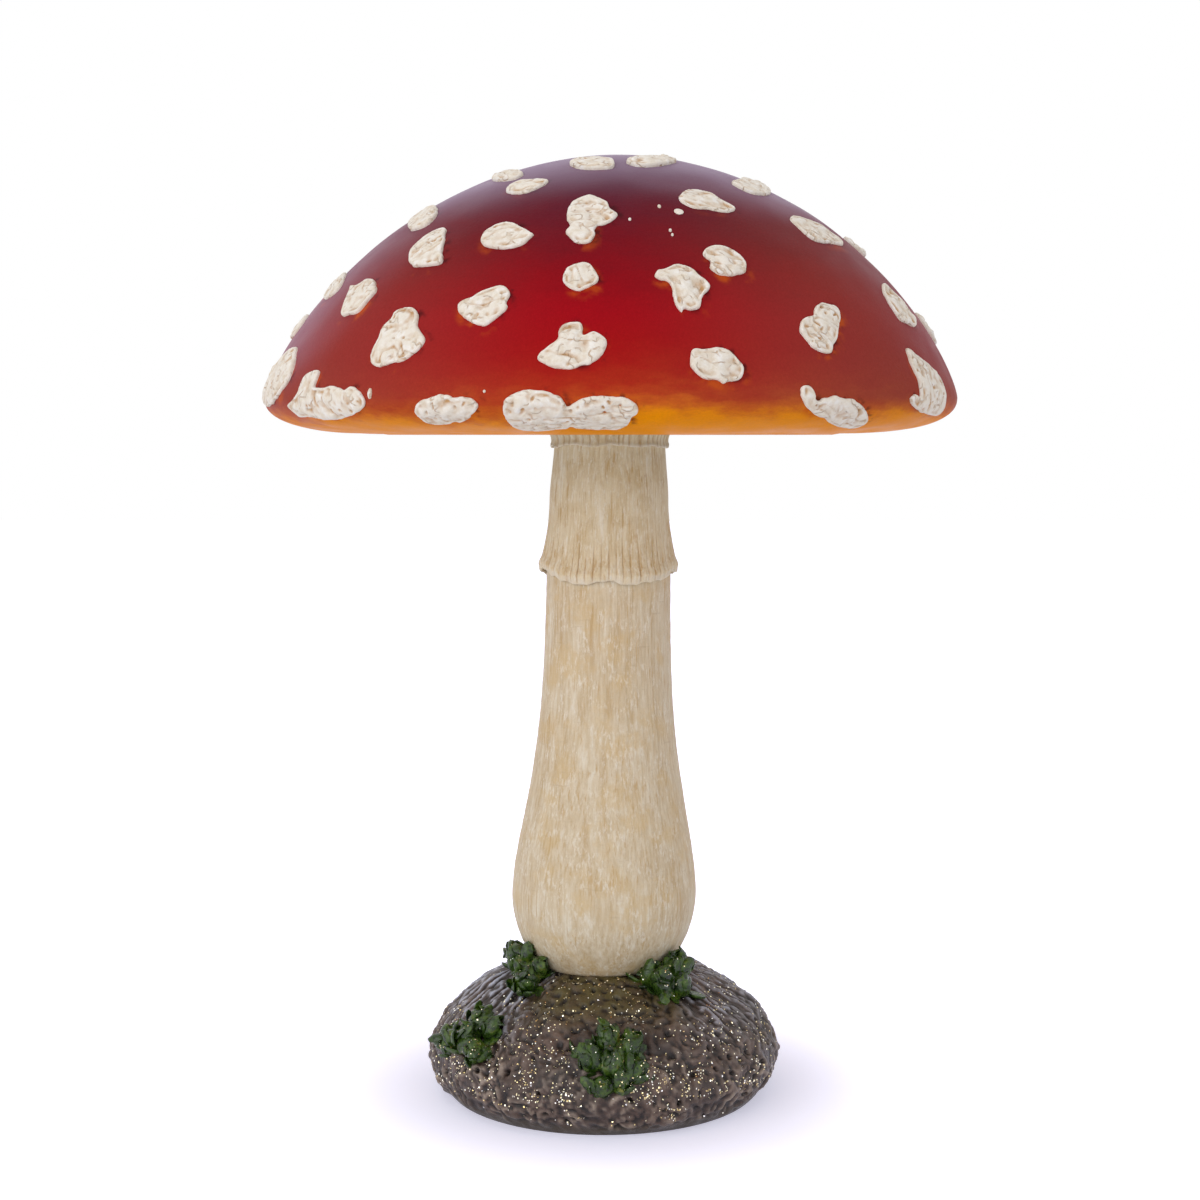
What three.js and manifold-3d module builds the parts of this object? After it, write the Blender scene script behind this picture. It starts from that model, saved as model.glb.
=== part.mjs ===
// Toadstool ornament: a painted cast-resin mushroom standing on a mound of soil.
// Millimetres, +Z up. The origin is the middle of the flat foot, on the surface that the
// ornament stands on. The front faces -Y and the viewer's right is +X.
// An azimuth is measured round the stem from the front, positive towards the right.

import * as THREE from 'three';
import { mergeVertices } from 'three/addons/utils/BufferGeometryUtils.js';
import Module from 'manifold-3d';

const wasm = await Module();
wasm.setup();

// Driving dimensions, glue line between bonded pieces
const glueGap = 0.3;

// Driving dimensions, cap
const capDiameter = 300;
const capHeight = 120.3;
const capUndersideHeight = 291;
const rimRollHeight = 15.6;
const rimFlatDiameter = 200.6;
const capWall = 5;
const capLipWidth = 3.5;
const capTopShift = 2.8;
const domeFullness = 1.35;
const rimFullness = 2.4;

// Driving dimensions, gill plate under the cap
const gillCount = 36;
const gillDepth = 5;
const gillPlateThickness = 3.5;
const gillRise = 1.2;
const gillDish = 2.5;
const gillInnerMargin = 2;
const gillOuterMargin = 4;
const gillRamp = 10;
const socketWall = 9;
const socketFlare = 9;
const socketRoof = 10;

// Driving dimensions, stem
const bulbRadius = 40.9;
const bulbHeight = 88;
const bulbUnderside = 45;
const bulbFade = 57;
const bulbFadePower = 1.68;
const waistRadius = 27.2;
const neckRadius = 21.8;
const neckEndDrop = 27;
const stemLean = 0.012;
const tenonRadius = 17;
const topTenonLength = 30;
const footTenonLength = 18;

// Driving dimensions, reinforcing rod
const rodDiameter = 10;
const rodTopCover = 4;

// Driving dimensions, skirt and collar, with their heights measured down from the cap
const skirtTopDrop = 2.6;
const skirtTopRadius = 24.3;
const skirtWaistRadius = 26.3;
const skirtWaistDrop = 29;
const skirtHemRadius = 31;
const skirtHemDrop = 62;
const skirtHemThickness = 1.5;
const skirtFlarePower = 1.9;
const collarBottomDrop = 4.8;
const collarFlareDrop = 1;
const collarThickness = 0.9;
const collarFlare = 3;
const collarFit = 0.2;
const collarRag = 0.9;

// Driving dimensions, soil mound
const moundDiameter = 155.6;
const moundWaistHeight = 17;
const moundFootDiameter = 137;
const moundPeakHeight = 59.5;
const moundFullness = 1.8;
const moundSeatRadius = 28;
const moundCavityRadius = 56;
const moundCavityHeight = 29;
const padRadius = 65;
const padThickness = 2.7;

// Driving dimensions, warts
const brushWidth = 10;
const wartThickness = 1.8;
const wartCrown = 0.3;
const wartEdgeHeight = 0.9;
const wartShoulder = 0.84;
const wartRoot = 2;
const wartRootShare = 0.97;

// Driving dimensions, moss
const mossLeafRadius = 6;

// Facets round each turned piece, and rows along its outline
const capFacets = 48;
const capDomeRows = 10;
const capRimRows = 5;
const capInnerDomeRows = 6;
const capInnerRimRows = 2;
const stemFacets = 30;
const stemBulbRows = 4;
const stemStalkRows = 6;
const stemNeckRows = 2;
const skirtFlareRows = 4;
const skirtTubeRows = 2;
const moundFacets = 40;
const moundWallRows = 3;
const moundTopRows = 7;
const rodFacets = 16;
const mossFacets = 7;
const mossRows = 5;

// Measuring steps along the cap's skin
const skinDomeRows = 90;
const skinRimRows = 40;

const rodRadius = rodDiameter / 2;
const boreRadius = rodRadius + glueGap;
const socketRadius = tenonRadius + glueGap;
const capRadius = capDiameter / 2;
const rimFlatRadius = rimFlatDiameter / 2;
const capLipRadius = rimFlatRadius - capLipWidth;
const moundRadius = moundDiameter / 2;
const collarInnerRadius = skirtTopRadius + glueGap + collarFit;
const skirtTopHeight = capUndersideHeight - skirtTopDrop;
const skirtWaistHeight = capUndersideHeight - skirtWaistDrop;
const skirtHemHeight = capUndersideHeight - skirtHemDrop;
const neckEndHeight = capUndersideHeight - neckEndDrop;
const moundSeatHeight = moundHeight(moundSeatRadius);
const socketFloor = moundSeatHeight - footTenonLength - glueGap;
const capShift = stemLean * (capUndersideHeight - moundSeatHeight);

// Materials

function paint(colour, roughness, metalness = 0) {
  return new THREE.MeshStandardMaterial({ color: colour, roughness, metalness });
}

const capPaint = paint(0xa81e12, 0.35);
const wartPaint = paint(0xe6dac2, 0.8);
const stemPaint = paint(0xd9c9a3, 0.75);
const skirtPaint = paint(0xcbb78d, 0.8);
const gillPaint = paint(0xdfcfae, 0.8);
const soilPaint = paint(0x5e4b40, 0.7);
const mossPaint = paint(0x1f5a22, 0.3);
const steel = paint(0x8c8f92, 0.4, 1);
const mortar = paint(0x9a9690, 0.95);
const felt = paint(0x2f2b28, 0.95);

// Turned solids

// A closed outline of [radius, height] points turned about the vertical axis. The move
// changes a point: it gets the point, its azimuth, its index in the outline and its step
// round the axis.
function turned(outline, facets, move = null) {
  const points = outline.map(([radius, height]) => new THREE.Vector2(radius, height));
  const lathe = new THREE.LatheGeometry(points, facets);
  lathe.rotateX(Math.PI / 2);
  lathe.deleteAttribute('normal');
  lathe.deleteAttribute('uv');
  const position = lathe.getAttribute('position');
  const vertex = new THREE.Vector3();
  for (let index = 0; index < position.count; index += 1) {
    vertex.fromBufferAttribute(position, index);
    const step = Math.floor(index / points.length) % facets;
    const azimuth = (step / facets) * 2 * Math.PI;
    if (move) move(vertex, azimuth, index % points.length, step);
    position.setXYZ(index, vertex.x, vertex.y, vertex.z);
  }
  return lathe;
}

function radians(degrees) {
  return (degrees * Math.PI) / 180;
}

function smoothStep(from, to, value) {
  const share = Math.min(1, Math.max(0, (value - from) / (to - from)));
  return share * share * (3 - 2 * share);
}

// Evenly spaced values from one to another, both ends included
function steps(from, to, count) {
  return Array.from({ length: count + 1 }, (_, index) => from + ((to - from) * index) / count);
}

// Solids for cutting and joining

function solidOf(geometry) {
  const merged = mergeVertices(geometry, 1e-5);
  const mesh = new wasm.Mesh({
    numProp: 3,
    vertProperties: new Float32Array(merged.getAttribute('position').array),
    triVerts: new Uint32Array(merged.getIndex().array),
  });
  mesh.merge();
  return new wasm.Manifold(mesh);
}

function geometryOf(solid) {
  const mesh = solid.getMesh();
  const geometry = new THREE.BufferGeometry();
  geometry.setAttribute('position', new THREE.BufferAttribute(mesh.vertProperties.slice(), 3));
  geometry.setIndex(new THREE.BufferAttribute(mesh.triVerts.slice(), 1));
  return geometry;
}

// The stem leans a little to the right, and the cap's crown a little more
function leanStem(vertex) {
  vertex.x += stemLean * (vertex.z - moundSeatHeight);
}

function leanCap(vertex) {
  const rise = vertex.z - capUndersideHeight;
  vertex.x += capShift + (capTopShift * rise) / capHeight;
}

// Cap: outline from the crown out to the widest ring and under to the lowest ring.
// The inset draws the same curve inside the wall.
function capOutline(inset, domeRows, rimRows) {
  const radius = capRadius - inset;
  const crown = capHeight - rimRollHeight - inset;
  const rimWidth = radius - rimFlatRadius;
  const rimDrop = rimRollHeight - inset;
  const outline = [];
  for (const angle of steps(0, Math.PI / 2, domeRows)) {
    const rise = Math.cos(angle) ** (2 / domeFullness);
    outline.push([radius * Math.sin(angle), rimRollHeight + crown * rise]);
  }
  for (const angle of steps(0, Math.PI / 2, rimRows).slice(1)) {
    const out = Math.max(0, Math.cos(angle)) ** (2 / rimFullness);
    const drop = Math.sin(angle) ** (2 / rimFullness);
    outline.push([rimFlatRadius + rimWidth * out, rimRollHeight - rimDrop * drop]);
  }
  return outline;
}

function underCap([radius, height]) {
  return [radius, height + capUndersideHeight];
}

function capShell() {
  const outside = capOutline(0, capDomeRows, capRimRows).reverse();
  const inside = capOutline(capWall, capInnerDomeRows, capInnerRimRows);
  const lip = [[capLipRadius, capWall], [capLipRadius, 0]];
  return turned([...inside, ...lip, ...outside].map(underCap), capFacets, leanCap);
}

// The cap's outer skin grown by the glue line, filled, for cutting what is bonded to it
function capCutter() {
  const outside = capOutline(-glueGap, capDomeRows, capRimRows).reverse();
  return solidOf(turned([[0, -glueGap], ...outside].map(underCap), capFacets, leanCap));
}

// Points along the cap's skin by their distance from the crown, for placing the warts
const skin = [];
for (const [radius, height] of capOutline(0, skinDomeRows, skinRimRows)) {
  const last = skin.at(-1);
  const length = last ? Math.hypot(radius - last.radius, height - last.height) : 0;
  skin.push({ radius, height, distance: (last ? last.distance : 0) + length });
}

function skinPoint(azimuth, distance, offset) {
  const found = skin.findIndex((point) => point.distance >= distance);
  const index = found < 0 ? skin.length - 1 : Math.max(1, found);
  const [inner, outer] = [skin[index - 1], skin[index]];
  const length = outer.distance - inner.distance;
  const share = (distance - inner.distance) / length;
  const radius = inner.radius + (outer.radius - inner.radius) * share;
  const height = inner.height + (outer.height - inner.height) * share;
  const outRadius = radius + (offset * (inner.height - outer.height)) / length;
  const outHeight = height + (offset * (outer.radius - inner.radius)) / length;
  const vertex = new THREE.Vector3(
    outRadius * Math.sin(azimuth),
    -outRadius * Math.cos(azimuth),
    capUndersideHeight + outHeight,
  );
  leanCap(vertex);
  return { vertex, radius };
}

function skinDistance(height) {
  return skin.find((point) => point.height <= height).distance;
}

// Warts: each is a patch of paste. Its outline is a closed line of points [to the right, up
// the slope], in tenths of the brush's width, measured along the cap's skin. The patch's
// rings are drawn from the middle, a point inside with nearly all of the outline in sight.
function wart(azimuthDegrees, heightShare, outline, [middleRight, middleUp]) {
  const azimuth = radians(azimuthDegrees);
  const distance = skinDistance((capHeight * heightShare) / 100);
  const place = (share, [right, up], offset) => {
    const toRight = ((middleRight + (right - middleRight) * share) * brushWidth) / 10;
    const upward = ((middleUp + (up - middleUp) * share) * brushWidth) / 10;
    const { radius } = skinPoint(azimuth, distance - upward, 0);
    return skinPoint(azimuth + toRight / radius, distance - upward, offset).vertex;
  };
  const layers = [
    [wartRootShare, -wartRoot],
    [1, wartEdgeHeight],
    [wartShoulder, wartThickness],
    [wartShoulder / 2, wartThickness + wartCrown / 2],
  ];
  const bottom = place(0, [0, 0], -wartRoot);
  const rings = layers.flatMap(([share, offset]) => outline.map((point) => place(share, point, offset)));
  const top = place(0, [0, 0], wartThickness + wartCrown);
  return solidOf(layeredGeometry([bottom, ...rings, top], layers.length, outline.length)).subtract(capSkin);
}

// A closed skin from a bottom point, rings of equal count and a top point
function layeredGeometry(vertices, ringCount, facets) {
  const triangles = [];
  const last = vertices.length - 1;
  for (let step = 0; step < facets; step += 1) {
    const next = (step + 1) % facets;
    triangles.push(0, 1 + next, 1 + step);
    for (let ring = 0; ring < ringCount - 1; ring += 1) {
      const low = 1 + ring * facets;
      const high = low + facets;
      triangles.push(low + step, low + next, high + next);
      triangles.push(low + step, high + next, high + step);
    }
    const top = 1 + (ringCount - 1) * facets;
    triangles.push(top + step, top + next, last);
  }
  const geometry = new THREE.BufferGeometry();
  const numbers = vertices.flatMap((vertex) => [vertex.x, vertex.y, vertex.z]);
  geometry.setAttribute('position', new THREE.Float32BufferAttribute(numbers, 3));
  geometry.setIndex(triangles);
  return geometry;
}

// [name, azimuth, height above the rim in hundredths of the cap's height, outline, middle].
// The middle is left out where it is [0, 0]. The first 31 rows are seen from the front and
// the last 15 lie on the far side.
const warts = [
  ['wart_rim_left_edge', -73, 19.1, [
    [-5, -11], [8, -11], [18, -9], [24, -6], [29, -2], [29, 3], [27, 7], [22, 11], [18, 14],
    [8, 13], [-2, 9], [-12, 3], [-15, -6],
  ]],
  ['wart_rim_left_long', -53, 12.3, [
    [-3.3, 10], [-6.4, 8.4], [-7.2, 5], [-8.5, 1.6], [-12.8, -0.6], [-19.3, -2.8], [-16.7, -6],
    [-14.6, -9.1], [-8, -8.8], [-1.7, -9.6], [4, -11.2], [13, -11], [20, -9.6], [28, -7.3],
    [34.5, -4.8], [36.7, -1.8], [34.4, 1.2], [29, 3.6], [25, 2.5], [19, 3.8], [14, 4], [8, 3.5],
    [4, 4.2], [3.6, 6.5], [3.9, 9.5], [2.1, 11.2],
  ], [0, -6.5]],
  ['wart_rim_left_pair', -24.7, 7.2, [
    [-6.4, 6.1], [-11.3, 4.3], [-14.3, 0.7], [-13.6, -3], [-12.5, -7.6], [-9, -9.2], [-3, -8.4],
    [0.5, -6.3], [2.5, -7], [7.5, -4], [9, -2], [12, 0.3], [13.7, 3], [12, 5.6], [8, 6.5],
    [3.9, 5.8], [2.5, 6.5], [-1.3, 7.2],
  ]],
  ['wart_rim_front_double', -6.3, 6.9, [
    [-13.2, 9.4], [-17, 9.2], [-21, 7.8], [-23.7, 5], [-24.6, 0], [-24, -5], [-22.3, -12],
    [-18, -17.5], [-12, -17.7], [-5.3, -15], [-1.9, -13.8], [0, -11], [1.5, -13.4], [10, -15],
    [17.5, -13.8], [21.5, -9], [22.9, -3.3], [25.3, 0], [24.8, 3.4], [21, 6.4], [15.5, 6.6],
    [9, 6.9], [4.5, 5.5], [0, 2.8], [-1.2, 4.5], [-3, 7], [-8, 8.6],
  ]],
  ['wart_rim_right_hook', 32.9, 6.3, [
    [-12.6, 9], [-11, 6], [-8.5, 3.7], [-4, 1], [-0.5, -0.9], [2.9, -1.5], [7.3, -4.8],
    [13.9, -8.3], [19.2, -10.2], [26, -12], [29.5, -9], [29, -4.5], [26.5, -1], [22.3, 2.2],
    [18.7, 4.8], [15.5, 6.2], [12.5, 7.6], [8.3, 7.5], [4.4, 8.5], [1.9, 8.6], [0.2, 8],
    [-2.5, 7.6], [-4.2, 6.5], [-6, 7.3], [-6.5, 9], [-7.8, 11.3], [-10, 12.4], [-12.1, 12],
  ], [-5, 4]],
  ['wart_rim_right_tapered', 56.5, 17.5, [
    [-5.4, 11], [-6, 7.4], [-4.8, 1.8], [-5.3, -3], [-6, -6.2], [-10.6, -5.4], [-13.6, -7],
    [-11.5, -9.2], [-7.2, -11.2], [-1.3, -12.3], [5, -13], [12, -14.2], [19, -14.5], [23.3, -13],
    [23, -10], [21, -6.5], [20.7, -2], [18.9, 2.3], [14.8, 5], [10.6, 7.7], [5, 10.1],
    [0.5, 12.4], [-1.9, 14.1], [-4.3, 14.6],
  ], [2, -10]],
  ['wart_low_left_tall', -36.5, 30.5, [
    [-3.5, 13.7], [-5.9, 11.8], [-5.6, 9], [-7.9, 5.2], [-8, -0.5], [-8.6, -4.5], [-8.2, -8.4],
    [-5.8, -11.2], [-2, -12.1], [4.3, -10.8], [9.8, -9.6], [13.8, -6.2], [15.6, -3], [15, -0.3],
    [11.2, 3.3], [8.8, 6], [7.2, 10], [4.5, 13.1], [0.9, 14.2],
  ]],
  ['wart_low_front_trefoil', -6.3, 26.9, [
    [-5, 7.2], [-5.4, 3], [-8.4, 0.1], [-12.1, -4.2], [-10.3, -6.7], [-5, -9], [1.6, -9.1],
    [4.5, -8], [7.6, -7.1], [11.5, -3.8], [13.2, 0.5], [12.3, 3.4], [8, 6.5], [4.2, 5],
    [3.7, 8.5], [2.2, 10.4], [-2, 10.2],
  ]],
  ['wart_low_front_oval', 15.2, 21.2, [
    [-9.8, 5], [-10.5, 0.5], [-9.6, -1.5], [-6.1, -5.1], [-0.6, -5.8], [1.5, -7.1], [3.2, -6.4],
    [7.8, -5.5], [9.7, -3.1], [10, -0.2], [7.7, 3.2], [4, 6.6], [0, 7.3], [-4.5, 6.5],
    [-8.4, 6.8],
  ]],
  ['wart_low_right_heart', 35.7, 34.4, [
    [-1.9, 7.6], [-3.5, 5], [-7.9, 3.8], [-10.9, 1.7], [-13.1, -2.5], [-12.1, -5.1],
    [-9.6, -10.2], [-5, -11.9], [-2, -12], [-1, -11], [0.2, -8.5], [2.4, -6.8], [4.6, -3.8],
    [7.2, 0], [10.4, 5], [11, 8.2], [9.6, 10.1], [6.5, 10.6], [3.4, 11.3], [0.1, 9.7],
  ]],
  ['wart_middle_left_slant', -53.4, 47, [
    [-1.5, 7.2], [-3.5, 5.5], [-6.5, 4.2], [-10.8, 4.2], [-10, 2.2], [-7.5, -1.5], [-5, -6],
    [-2.6, -10], [0.2, -12], [3.1, -11.6], [8.5, -10.7], [10.9, -9], [11.9, -4], [12, 0],
    [9.3, 3.4], [6, 6], [2.4, 7.2],
  ]],
  ['wart_middle_left_bean', -21.2, 41.1, [
    [0, 7.3], [-3.5, 5.8], [-6.5, 3], [-11.4, 0.3], [-11.3, -3], [-8.7, -6], [-3, -9.4],
    [1.5, -10.7], [4.5, -8.3], [7.8, -4.9], [8.9, -2], [8, 0.2], [8.4, 4], [6.3, 7], [3.3, 8.4],
  ]],
  ['wart_middle_front_round', -6.2, 49.9, [
    [-4.6, 3.6], [-6.2, -1], [-5.3, -4.6], [-2, -7.6], [0.8, -8.5], [3, -7.1], [6.3, -5],
    [7.3, -2.3], [6.7, 0.3], [3.5, 5.1], [0.8, 6.3],
  ]],
  ['wart_middle_front_hook', 11.9, 47.1, [
    [-6.5, 7.4], [-9.5, 6.6], [-11.1, 4.4], [-10, 2.2], [-6.2, 0.8], [-5.1, -2], [-5.2, -6],
    [-4.8, -11], [-3, -13.8], [-1.6, -12.3], [0.8, -13], [4.3, -11.2], [5.2, -9], [6.5, -5.7],
    [9.4, -2], [9.4, 0.3], [6.5, 3.8], [4.7, 6.8], [1, 9.6], [-2.2, 10.1],
  ]],
  ['wart_middle_right_narrow', 64.1, 44.9, [
    [-6, 7.6], [-10, 4.2], [-11.5, 1], [-12.7, -2], [-13, -5.4], [-11.8, -10], [-7, -11],
    [2, -12], [6, -9], [7, -4], [6, 1], [3, 6], [0, 10],
  ]],
  ['wart_upper_left_corner', -42.1, 63.1, [
    [-1.5, 9], [-4.6, 7.8], [-7.2, 4.5], [-8.8, -0.9], [-9.1, -4.4], [-6.7, -8.1], [-3, -11.6],
    [1, -14.2], [5.4, -14.2], [12.7, -13.8], [15, -12.5], [13, -9], [9.5, -4.2], [6.5, 1],
    [3.5, 5.5], [1.3, 8.6],
  ]],
  ['wart_upper_left_oval', -24, 64.8, [
    [-5.6, 5.7], [-9.2, 1.5], [-9.4, -2], [-7.5, -6], [-2.7, -8.6], [3, -9.5], [8.1, -8.9],
    [11, -6.8], [12.1, -3.5], [13.2, -1.4], [10.6, 0.2], [7.5, 2.5], [3.3, 5.4], [-1.4, 7.1],
  ]],
  ['wart_upper_front_double', -5, 69.8, [
    [-6.5, 14.6], [-9.9, 10.4], [-10.8, 5], [-10.3, -1], [-8.9, -5.8], [-9.9, -10], [-7, -15],
    [-4, -16.9], [0, -16], [1.4, -12], [0.9, -8.7], [1.8, -6], [4.5, -5.2], [7, -3], [9, 1.6],
    [6, 5.8], [4.5, 10.5], [1.4, 14], [-2.7, 16.8],
  ], [-4, -3.5]],
  ['wart_upper_right_pair', 20.6, 57, [
    [-4, 4.4], [-7.4, 1.9], [-7.6, -1], [-6.2, -3.5], [-6.8, -7], [-5.5, -9.6], [-2.6, -11.1],
    [3, -10.8], [6.5, -9.5], [7.8, -7.3], [8.3, -3.5], [7, 0.5], [3.5, 4.2], [-0.4, 5.5],
  ]],
  ['wart_upper_right_tail', 25.6, 77, [
    [-9, 6.8], [-12.5, 3.5], [-14.4, -1], [-13, -4.6], [-9.6, -7.5], [-5, -7.2], [0.5, -9.1],
    [6.3, -7.8], [8.2, -5.5], [7, -3], [4, 1], [2.6, 5.8], [-1.5, 7.8], [-6, 7.8],
  ]],
  ['wart_upper_right_long', 55.2, 69, [
    [-13.3, 5.8], [-14.3, 1], [-14.6, -3], [-13.5, -7], [-9.4, -8.7], [0, -8.7], [9.5, -8.6],
    [13.4, -6], [13, -3], [10, 0.5], [9.2, 4.6], [2, 7], [-4, 8.3], [-9.5, 8.2],
  ]],
  ['wart_crown_left_thin', -29.4, 83.8, [
    [8.2, 2.6], [3, 3.9], [-3.5, 4], [-6.8, 1.5], [-7.5, -3], [-6.2, -6.5], [-2.8, -8.8],
    [1.5, -9.7], [6, -8], [8.9, -3.5], [9.4, 0.5],
  ]],
  ['wart_middle_left_edge', -72, 51.5, [
    [-12, -1], [-4, -5], [6, -8], [14, -5], [13, 0], [4, 5], [-5, 8], [-13, 5],
  ]],
  ['wart_middle_left_small', -79, 38.2, [
    [-6, -5], [4, -6], [9, 0], [5, 5], [-4, 6], [-9, 1],
  ]],
  ['wart_middle_right_edge', 84, 38.2, [
    [-5, -8], [6, -7], [12, 0], [10, 6], [1, 8], [-8, 5], [-11, -2],
  ]],
  ['wart_upper_left_edge', -60, 73.8, [
    [-13, 1], [-3, -5], [8, -9], [15, -6], [12, 1], [2, 8], [-9, 12], [-17, 9],
  ]],
  ['wart_upper_right_edge', 79, 66.5, [
    [-4, -6], [6, -5], [10, 2], [4, 6], [-5, 5], [-10, -1],
  ]],
  ['wart_crown_left_edge', -48.6, 88.9, [
    [-8, -1], [3, -6], [12, -6], [11, 0], [2, 6], [-8, 9], [-15, 6],
  ]],
  ['wart_crown_front', -10.6, 92.3, [
    [-11, 2], [-7, -5], [0, -9], [8, -8], [9, -2], [6, 6], [-3, 10], [-9, 8],
  ]],
  ['wart_crown_right', 19.3, 93.5, [
    [-11, -8], [-5, -9], [5, -3], [12, 4], [12, 11], [4, 12], [-4, 8], [-12, 0],
  ]],
  ['wart_crown_right_edge', 54.4, 85, [
    [-14, -8], [-4, -8], [8, -3], [19, 5], [19, 11], [8, 12], [-4, 7], [-15, 1],
  ]],
  ['wart_back_rim_right', 103, 10, [
    [-14, -8], [-3, -10], [6, -7], [16, -6], [18, 3], [11, 8], [3, 6], [-4, 9], [-13, 8],
    [-19, 1],
  ]],
  ['wart_back_rim_middle', 143, 8.3, [
    [-11, -6], [0, -9], [10, -6], [17, 1], [16, 8], [8, 10], [1, 8], [-8, 9], [-15, 3],
  ]],
  ['wart_back_rim_left', 186, 9.1, [
    [-12, -11], [0, -8], [10, -10], [19, -3], [17, 6], [7, 9], [-1, 6], [-9, 9], [-18, 7],
    [-22, -1],
  ]],
  ['wart_back_rim_far_left', 236, 11.6, [
    [-16, -2], [-9, -8], [5, -9], [16, -4], [15, 4], [7, 9], [-4, 8], [-7, 11], [-12, 12],
    [-15, 5],
  ]],
  ['wart_back_low_right', 121, 29.9, [
    [-6, -13], [3, -12], [7, -4], [10, 4], [8, 12], [0, 13], [-8, 7], [-12, -2], [-11, -9],
  ]],
  ['wart_back_low_middle', 163, 32.4, [
    [-13, -4], [-7, -9], [0, -6], [8, -5], [15, 1], [13, 9], [5, 11], [-2, 6], [-8, 8], [-14, 4],
  ]],
  ['wart_back_low_left', 212, 29.1, [
    [-13, -2], [-5, -8], [6, -9], [13, -2], [10, 6], [7, 14], [0, 14], [-4, 8], [-12, 5],
  ]],
  ['wart_back_low_far_left', 262, 33.3, [
    [-11, -3], [-7, -11], [1, -12], [9, -11], [12, -4], [9, 4], [4, 12], [-5, 12], [-10, 6],
  ]],
  ['wart_back_middle_right', 106, 54.9, [
    [0, -10], [7, -4], [11, 4], [5, 10], [-4, 8], [-11, 2], [-9, -6],
  ]],
  ['wart_back_middle', 187, 54, [
    [-8, -6], [2, -9], [10, -4], [9, 5], [1, 7], [-4, 11], [-10, 12], [-11, 6],
  ]],
  ['wart_back_middle_left', 238, 52.4, [
    [-8, -7], [1, -9], [11, -10], [14, -4], [8, 0], [6, 6], [-2, 10], [-12, 7], [-15, -1],
  ]],
  ['wart_back_upper_right', 144, 63.2, [
    [-14, -6], [-9, -11], [-2, -6], [8, -8], [14, -2], [8, 6], [-3, 9], [-12, 5],
  ]],
  ['wart_back_upper_middle', 174, 84, [
    [-5, -9], [7, -7], [14, 1], [11, 8], [0, 9], [-10, 5], [-14, -4],
  ]],
  ['wart_back_upper_left', 215, 74.8, [
    [-11, -1], [-6, -6], [2, -10], [9, -13], [13, -6], [8, 0], [4, 5], [-5, 9], [-11, 5],
  ]],
  ['wart_back_crown', 258, 80.6, [
    [-9, -7], [2, -8], [10, -3], [14, 4], [10, 9], [3, 7], [-7, 8], [-14, 2],
  ]],
];

// Gill plate: a dished disc with radial gills below and the stem's socket above. Every
// second row of points round it hangs down by the gills' depth.
function gillPlate() {
  const outer = capLipRadius - glueGap;
  const rootAt = (radius) => {
    const share = (radius - socketRadius) / (outer - socketRadius);
    return gillRise + gillDish * Math.sin(share * Math.PI) + gillDepth;
  };
  const collarOuterRadius = collarInnerRadius + collarThickness + collarFlare;
  const gillStart = collarOuterRadius + 2 * glueGap + gillInnerMargin;
  const gillEnd = outer - gillOuterMargin;
  const gillMiddle = (gillStart + gillRamp + gillEnd) / 2;
  const gillRadii = [gillStart, gillStart + gillRamp, gillMiddle, gillEnd];
  const socketTop = topTenonLength + glueGap;
  const rodTop = socketTop + rodTopCover;
  const plateTop = rootAt(outer) + gillPlateThickness;
  const outline = [
    [socketRadius, gillRise + gillDepth],
    [gillStart - gillInnerMargin, gillRise + gillDepth],
    ...gillRadii.map((radius) => [radius, rootAt(radius)]),
    [outer, rootAt(outer)],
    [outer, plateTop],
    [socketRadius + socketWall + socketFlare, plateTop + gillDish],
    [socketRadius + socketWall, rodTop + socketRoof],
    [0, rodTop + socketRoof],
    [0, rodTop],
    [boreRadius, rodTop],
    [boreRadius, socketTop],
    [socketRadius, socketTop],
    [socketRadius, gillRise + gillDepth],
  ];
  const first = 2;
  const last = first + gillRadii.length - 1;
  return turned(outline.map(underCap), gillCount * 2, (vertex, azimuth, index, step) => {
    if (index >= first && index <= last && step % 2 === 0) vertex.z -= gillDepth;
    if (outline[index][0] <= socketRadius) leanStem(vertex);
    else vertex.x += capShift;
  });
}

// Soil mound: radius of its skin at a height, and height of its skin at a radius
function wallRadius(height, grow) {
  const wide = moundRadius + grow;
  const foot = moundFootDiameter / 2 + grow;
  const below = (moundWaistHeight - height) / moundWaistHeight;
  return wide - (wide - foot) * below * below;
}

function moundHeight(radius, grow = 0) {
  const share = radius / (moundRadius + grow);
  const rise = Math.max(0, 1 - share * share) ** (1 / moundFullness);
  return moundWaistHeight + (moundPeakHeight + grow - moundWaistHeight) * rise;
}

function moundSkin(grow) {
  const wall = steps(0, moundWaistHeight, moundWallRows);
  const wide = moundRadius + grow;
  const seat = moundSeatRadius + grow;
  const top = steps(1, 0, moundTopRows).slice(1).map((share) => {
    const radius = seat + (wide - seat) * Math.sin((share * Math.PI) / 2);
    return [radius, moundHeight(radius, grow)];
  });
  return [...wall.map((height) => [wallRadius(height, grow), height]), ...top];
}

// The socket and the rod's bore lean with the stem
function leanBore(outline) {
  return (vertex, azimuth, index) => {
    if (outline[index][0] <= socketRadius) leanStem(vertex);
  };
}

function moundBody() {
  const outline = [
    ...moundSkin(0),
    [socketRadius, moundSeatHeight],
    [socketRadius, socketFloor],
    [boreRadius, socketFloor],
    [boreRadius, moundCavityHeight],
    [moundCavityRadius, moundCavityHeight],
    [moundCavityRadius, padThickness + glueGap],
    [padRadius + glueGap, padThickness + glueGap],
    [padRadius + glueGap, 0],
    [moundFootDiameter / 2, 0],
  ];
  return turned(outline, moundFacets, leanBore(outline));
}

function moundCutter() {
  return solidOf(turned([
    [0, 0],
    ...moundSkin(glueGap),
    [0, moundSeatHeight + glueGap],
  ], moundFacets));
}

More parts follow.
